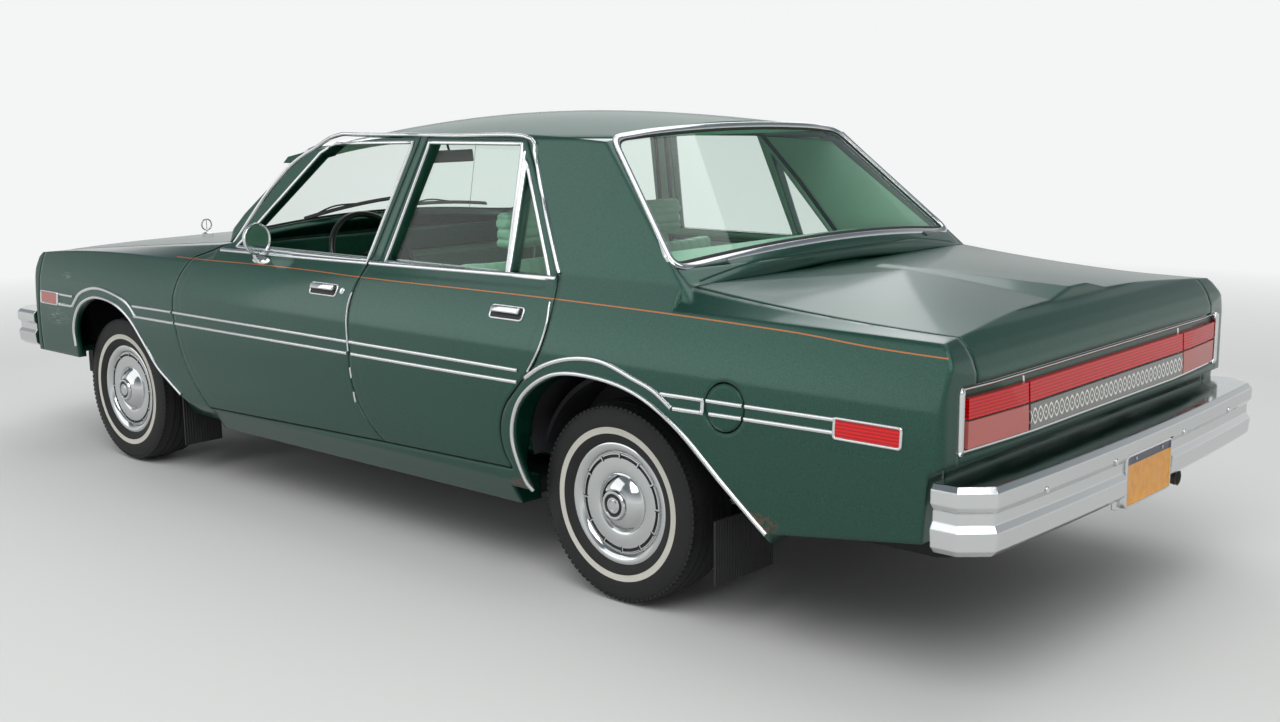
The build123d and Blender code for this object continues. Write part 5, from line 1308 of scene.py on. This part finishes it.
# Welts along the benches' ends, and posts under the head restraints
for name, spec in cushionRows.items():
    if spec["rib"] != 1:
        continue
    data = cushions[name].data
    skin = BVHTree.FromPolygons([vertex.co.copy() for vertex in data.vertices],
                                [list(polygon.vertices) for polygon in data.polygons])
    mesh = bmesh.new()
    for end in (-1, 1):
        loop = [Vector((x, end * (spec["half"] - 0.004), z)) for x, z in spec["outline"]]
        found = [skin.find_nearest(point) for point in straightPoints(loop, 0.02)]
        sweepStrip(mesh, [row[0] for row in found], [row[1] for row in found], roundSection(0.0038, 8), True)
    finishPiece(mesh, f"{name}_welt", "body", plainVinyl, "vinyl")
mesh = bmesh.new()
for side, sign in sides:
    for spread in (-0.035, 0.035):
        y = sign * restraint["middle"] + spread
        tube(mesh, [Vector((-0.372, y, height)) for height in (0.965, 0.990, 1.025)], 0.0055, 12)
finishPiece(mesh, "restraint_posts")

# Parcel shelf trim: a crowned board in the seats' vinyl, from the seat back to the foot of the rear window
shelfTrim = {"back": -1.432, "front": -1.066, "low": 0.9845, "high": 1.034, "crown": 0.010, "across": 30, "along": 8,
             "half": 0.70, "gap": 0.006}
insideTree = surfaceTree(["body_side_left", "body_side_right"])
grid = []
for row in range(shelfTrim["along"] + 1):
    share = row / shelfTrim["along"]
    x = shelfTrim["back"] + (shelfTrim["front"] - shelfTrim["back"]) * share
    hit = castFrom(insideTree, (x, 0, shelfTrim["high"]), Vector((0, 1, 0)))
    half = min(shelfTrim["half"], (hit[0].y if hit else shelfTrim["half"]) - shelfTrim["gap"])
    crown = shelfTrim["crown"] * sin(pi * min(1.0, share * 0.6 + 0.35))
    places = [half * (2 * step / shelfTrim["across"] - 1) for step in range(shelfTrim["across"] + 1)]
    grid.append([(x, y, shelfTrim["high"] + crown * (1 - (y / half) ** 6)) for y in places])
mesh = bmesh.new()
joinRings(mesh, grid, wrapped=False)
skirt = bmesh.ops.extrude_edge_only(mesh, edges=[edge for edge in mesh.edges if edge.is_boundary])["geom"]
for item in skirt:
    if isinstance(item, bmesh.types.BMVert):
        item.co.z = shelfTrim["low"]
bmesh.ops.contextual_create(mesh, geom=[edge for edge in mesh.edges if edge.is_boundary])
finishPiece(mesh, "parcel_shelf_trim", "body", ribbedVinyl, "vinyl", 50)

# Plinth under the front bench
mesh = bmesh.new()
for y in (-0.33, 0.33):
    roundedBlock(mesh, Matrix.Translation((-0.07, y, 0.326)), (0.380, 0.34, 0.070), 0.010)
finishPiece(mesh, "seat_plinth", "body", underPaint, "under_paint")
print("seats made")


# Camera: place, turn in radians, and focal length in the photo's pixels
cameraLook = {"place": (-4.1687, 3.9699, 1.5304), "yaw": -0.8384, "pitch": -0.1784, "roll": -0.0101,
              "focal": 1456.83, "imageWidth": 1280, "sensor": 36.0, "reach": 100.0}
yaw, pitch, roll = cameraLook["yaw"], cameraLook["pitch"], cameraLook["roll"]
ahead = Vector((cos(yaw) * cos(pitch), sin(yaw) * cos(pitch), sin(pitch)))
right = ahead.cross(Vector((0, 0, 1))).normalized()
above = right.cross(ahead).normalized()
right, above = cos(roll) * right + sin(roll) * above, cos(roll) * above - sin(roll) * right
cameraData = bpy.data.cameras.new("camera")
cameraData.sensor_width = cameraLook["sensor"]
cameraData.lens = cameraLook["sensor"] * cameraLook["focal"] / cameraLook["imageWidth"]
cameraData.clip_end = cameraLook["reach"]
camera = bpy.data.objects.new("camera", cameraData)
camera.matrix_world = axesAt(cameraLook["place"], right, above, -ahead)
bpy.context.scene.collection.objects.link(camera)
bpy.context.scene.camera = camera

# A pale floor that keeps the car's shadow and fades into the white backdrop further out
studio = {"floor": "c4c5c4", "backdrop": "f4f5f5", "sky": "79838a", "fadeFrom": 4.5, "fadeTo": 9.0, "fill": 0.55,
          "floorRadius": 40, "floorZ": -0.0005, "lampSize": 7.0, "aimZ": 0.6}


def seenDirectly(owner):
    path = addNode(owner, "ShaderNodeLightPath").outputs
    total = Field(path["Is Camera Ray"]) + path["Is Glossy Ray"] + path["Is Transmission Ray"]
    return reckon("MINIMUM", total, 1.0)


floorMesh = bmesh.new()
bmesh.ops.create_circle(floorMesh, cap_ends=True, radius=studio["floorRadius"], segments=96)
floorPiece = bpy.data.objects.new("studio_floor", meshOf(floorMesh, "studio_floor"))
floorPiece.location.z = studio["floorZ"]
bpy.context.scene.collection.objects.link(floorPiece)
floorPaint, floorShader = newMaterial("studioFloorPaint", studio["floor"], 0.0, 0.75)
away = addNode(floorPaint, "ShaderNodeVectorMath", {0: objectPlace(floorPaint)}, operation="LENGTH")
fade = Field(away.outputs["Value"]).spread(0.0, 1.0, studio["fadeFrom"], studio["fadeTo"])
glow = addNode(floorPaint, "ShaderNodeEmission", {"Color": studio["backdrop"], "Strength": 1.0})
mixed = addNode(floorPaint, "ShaderNodeMixShader", {
    0: fade * seenDirectly(floorPaint), 1: floorShader.outputs["BSDF"], 2: glow.outputs["Emission"]})
output = next(node for node in floorPaint.node_tree.nodes if node.type == "OUTPUT_MATERIAL")
feed(output, "Surface", mixed.outputs[0])
floorPiece.data.materials.append(floorPaint)

world = bpy.data.worlds.new("studio")
world.use_nodes = True
world.node_tree.nodes.clear()
around = addNode(world, "ShaderNodeTexCoord").outputs["Generated"]
height = Field(addNode(world, "ShaderNodeSeparateXYZ", {"Vector": around}).outputs["Z"])
toned = height.spread(0.0, 1.0, 0.06, 0.50).mix(studio["backdrop"], studio["sky"])
plain = addNode(world, "ShaderNodeBackground", {"Color": studio["backdrop"], "Strength": studio["fill"]})
shown = addNode(world, "ShaderNodeBackground", {"Color": toned, "Strength": 1.0})
both = addNode(world, "ShaderNodeMixShader", {0: seenDirectly(world), 1: plain.outputs[0], 2: shown.outputs[0]})
addNode(world, "ShaderNodeOutputWorld", {"Surface": both.outputs[0]})
bpy.context.scene.world = world
for name, place, power in (("key_light", (-5.0, 5.5, 8.0), 640), ("fill_light", (5.0, 7.0, 5.0), 200),
                           ("back_light", (5.5, -6.0, 5.5), 240), ("top_light", (-1.0, -2.5, 8.5), 260)):
    lampData = bpy.data.lights.new(name, "AREA")
    lampData.size = studio["lampSize"]
    lampData.energy = power
    lamp = bpy.data.objects.new(name, lampData)
    lamp.location = place
    lamp.rotation_euler = (Vector((0, 0, studio["aimZ"])) - Vector(place)).to_track_quat("-Z", "Y").to_euler()
    bpy.context.scene.collection.objects.link(lamp)
bpy.context.scene.view_settings.view_transform = "Standard"
print("stage set")
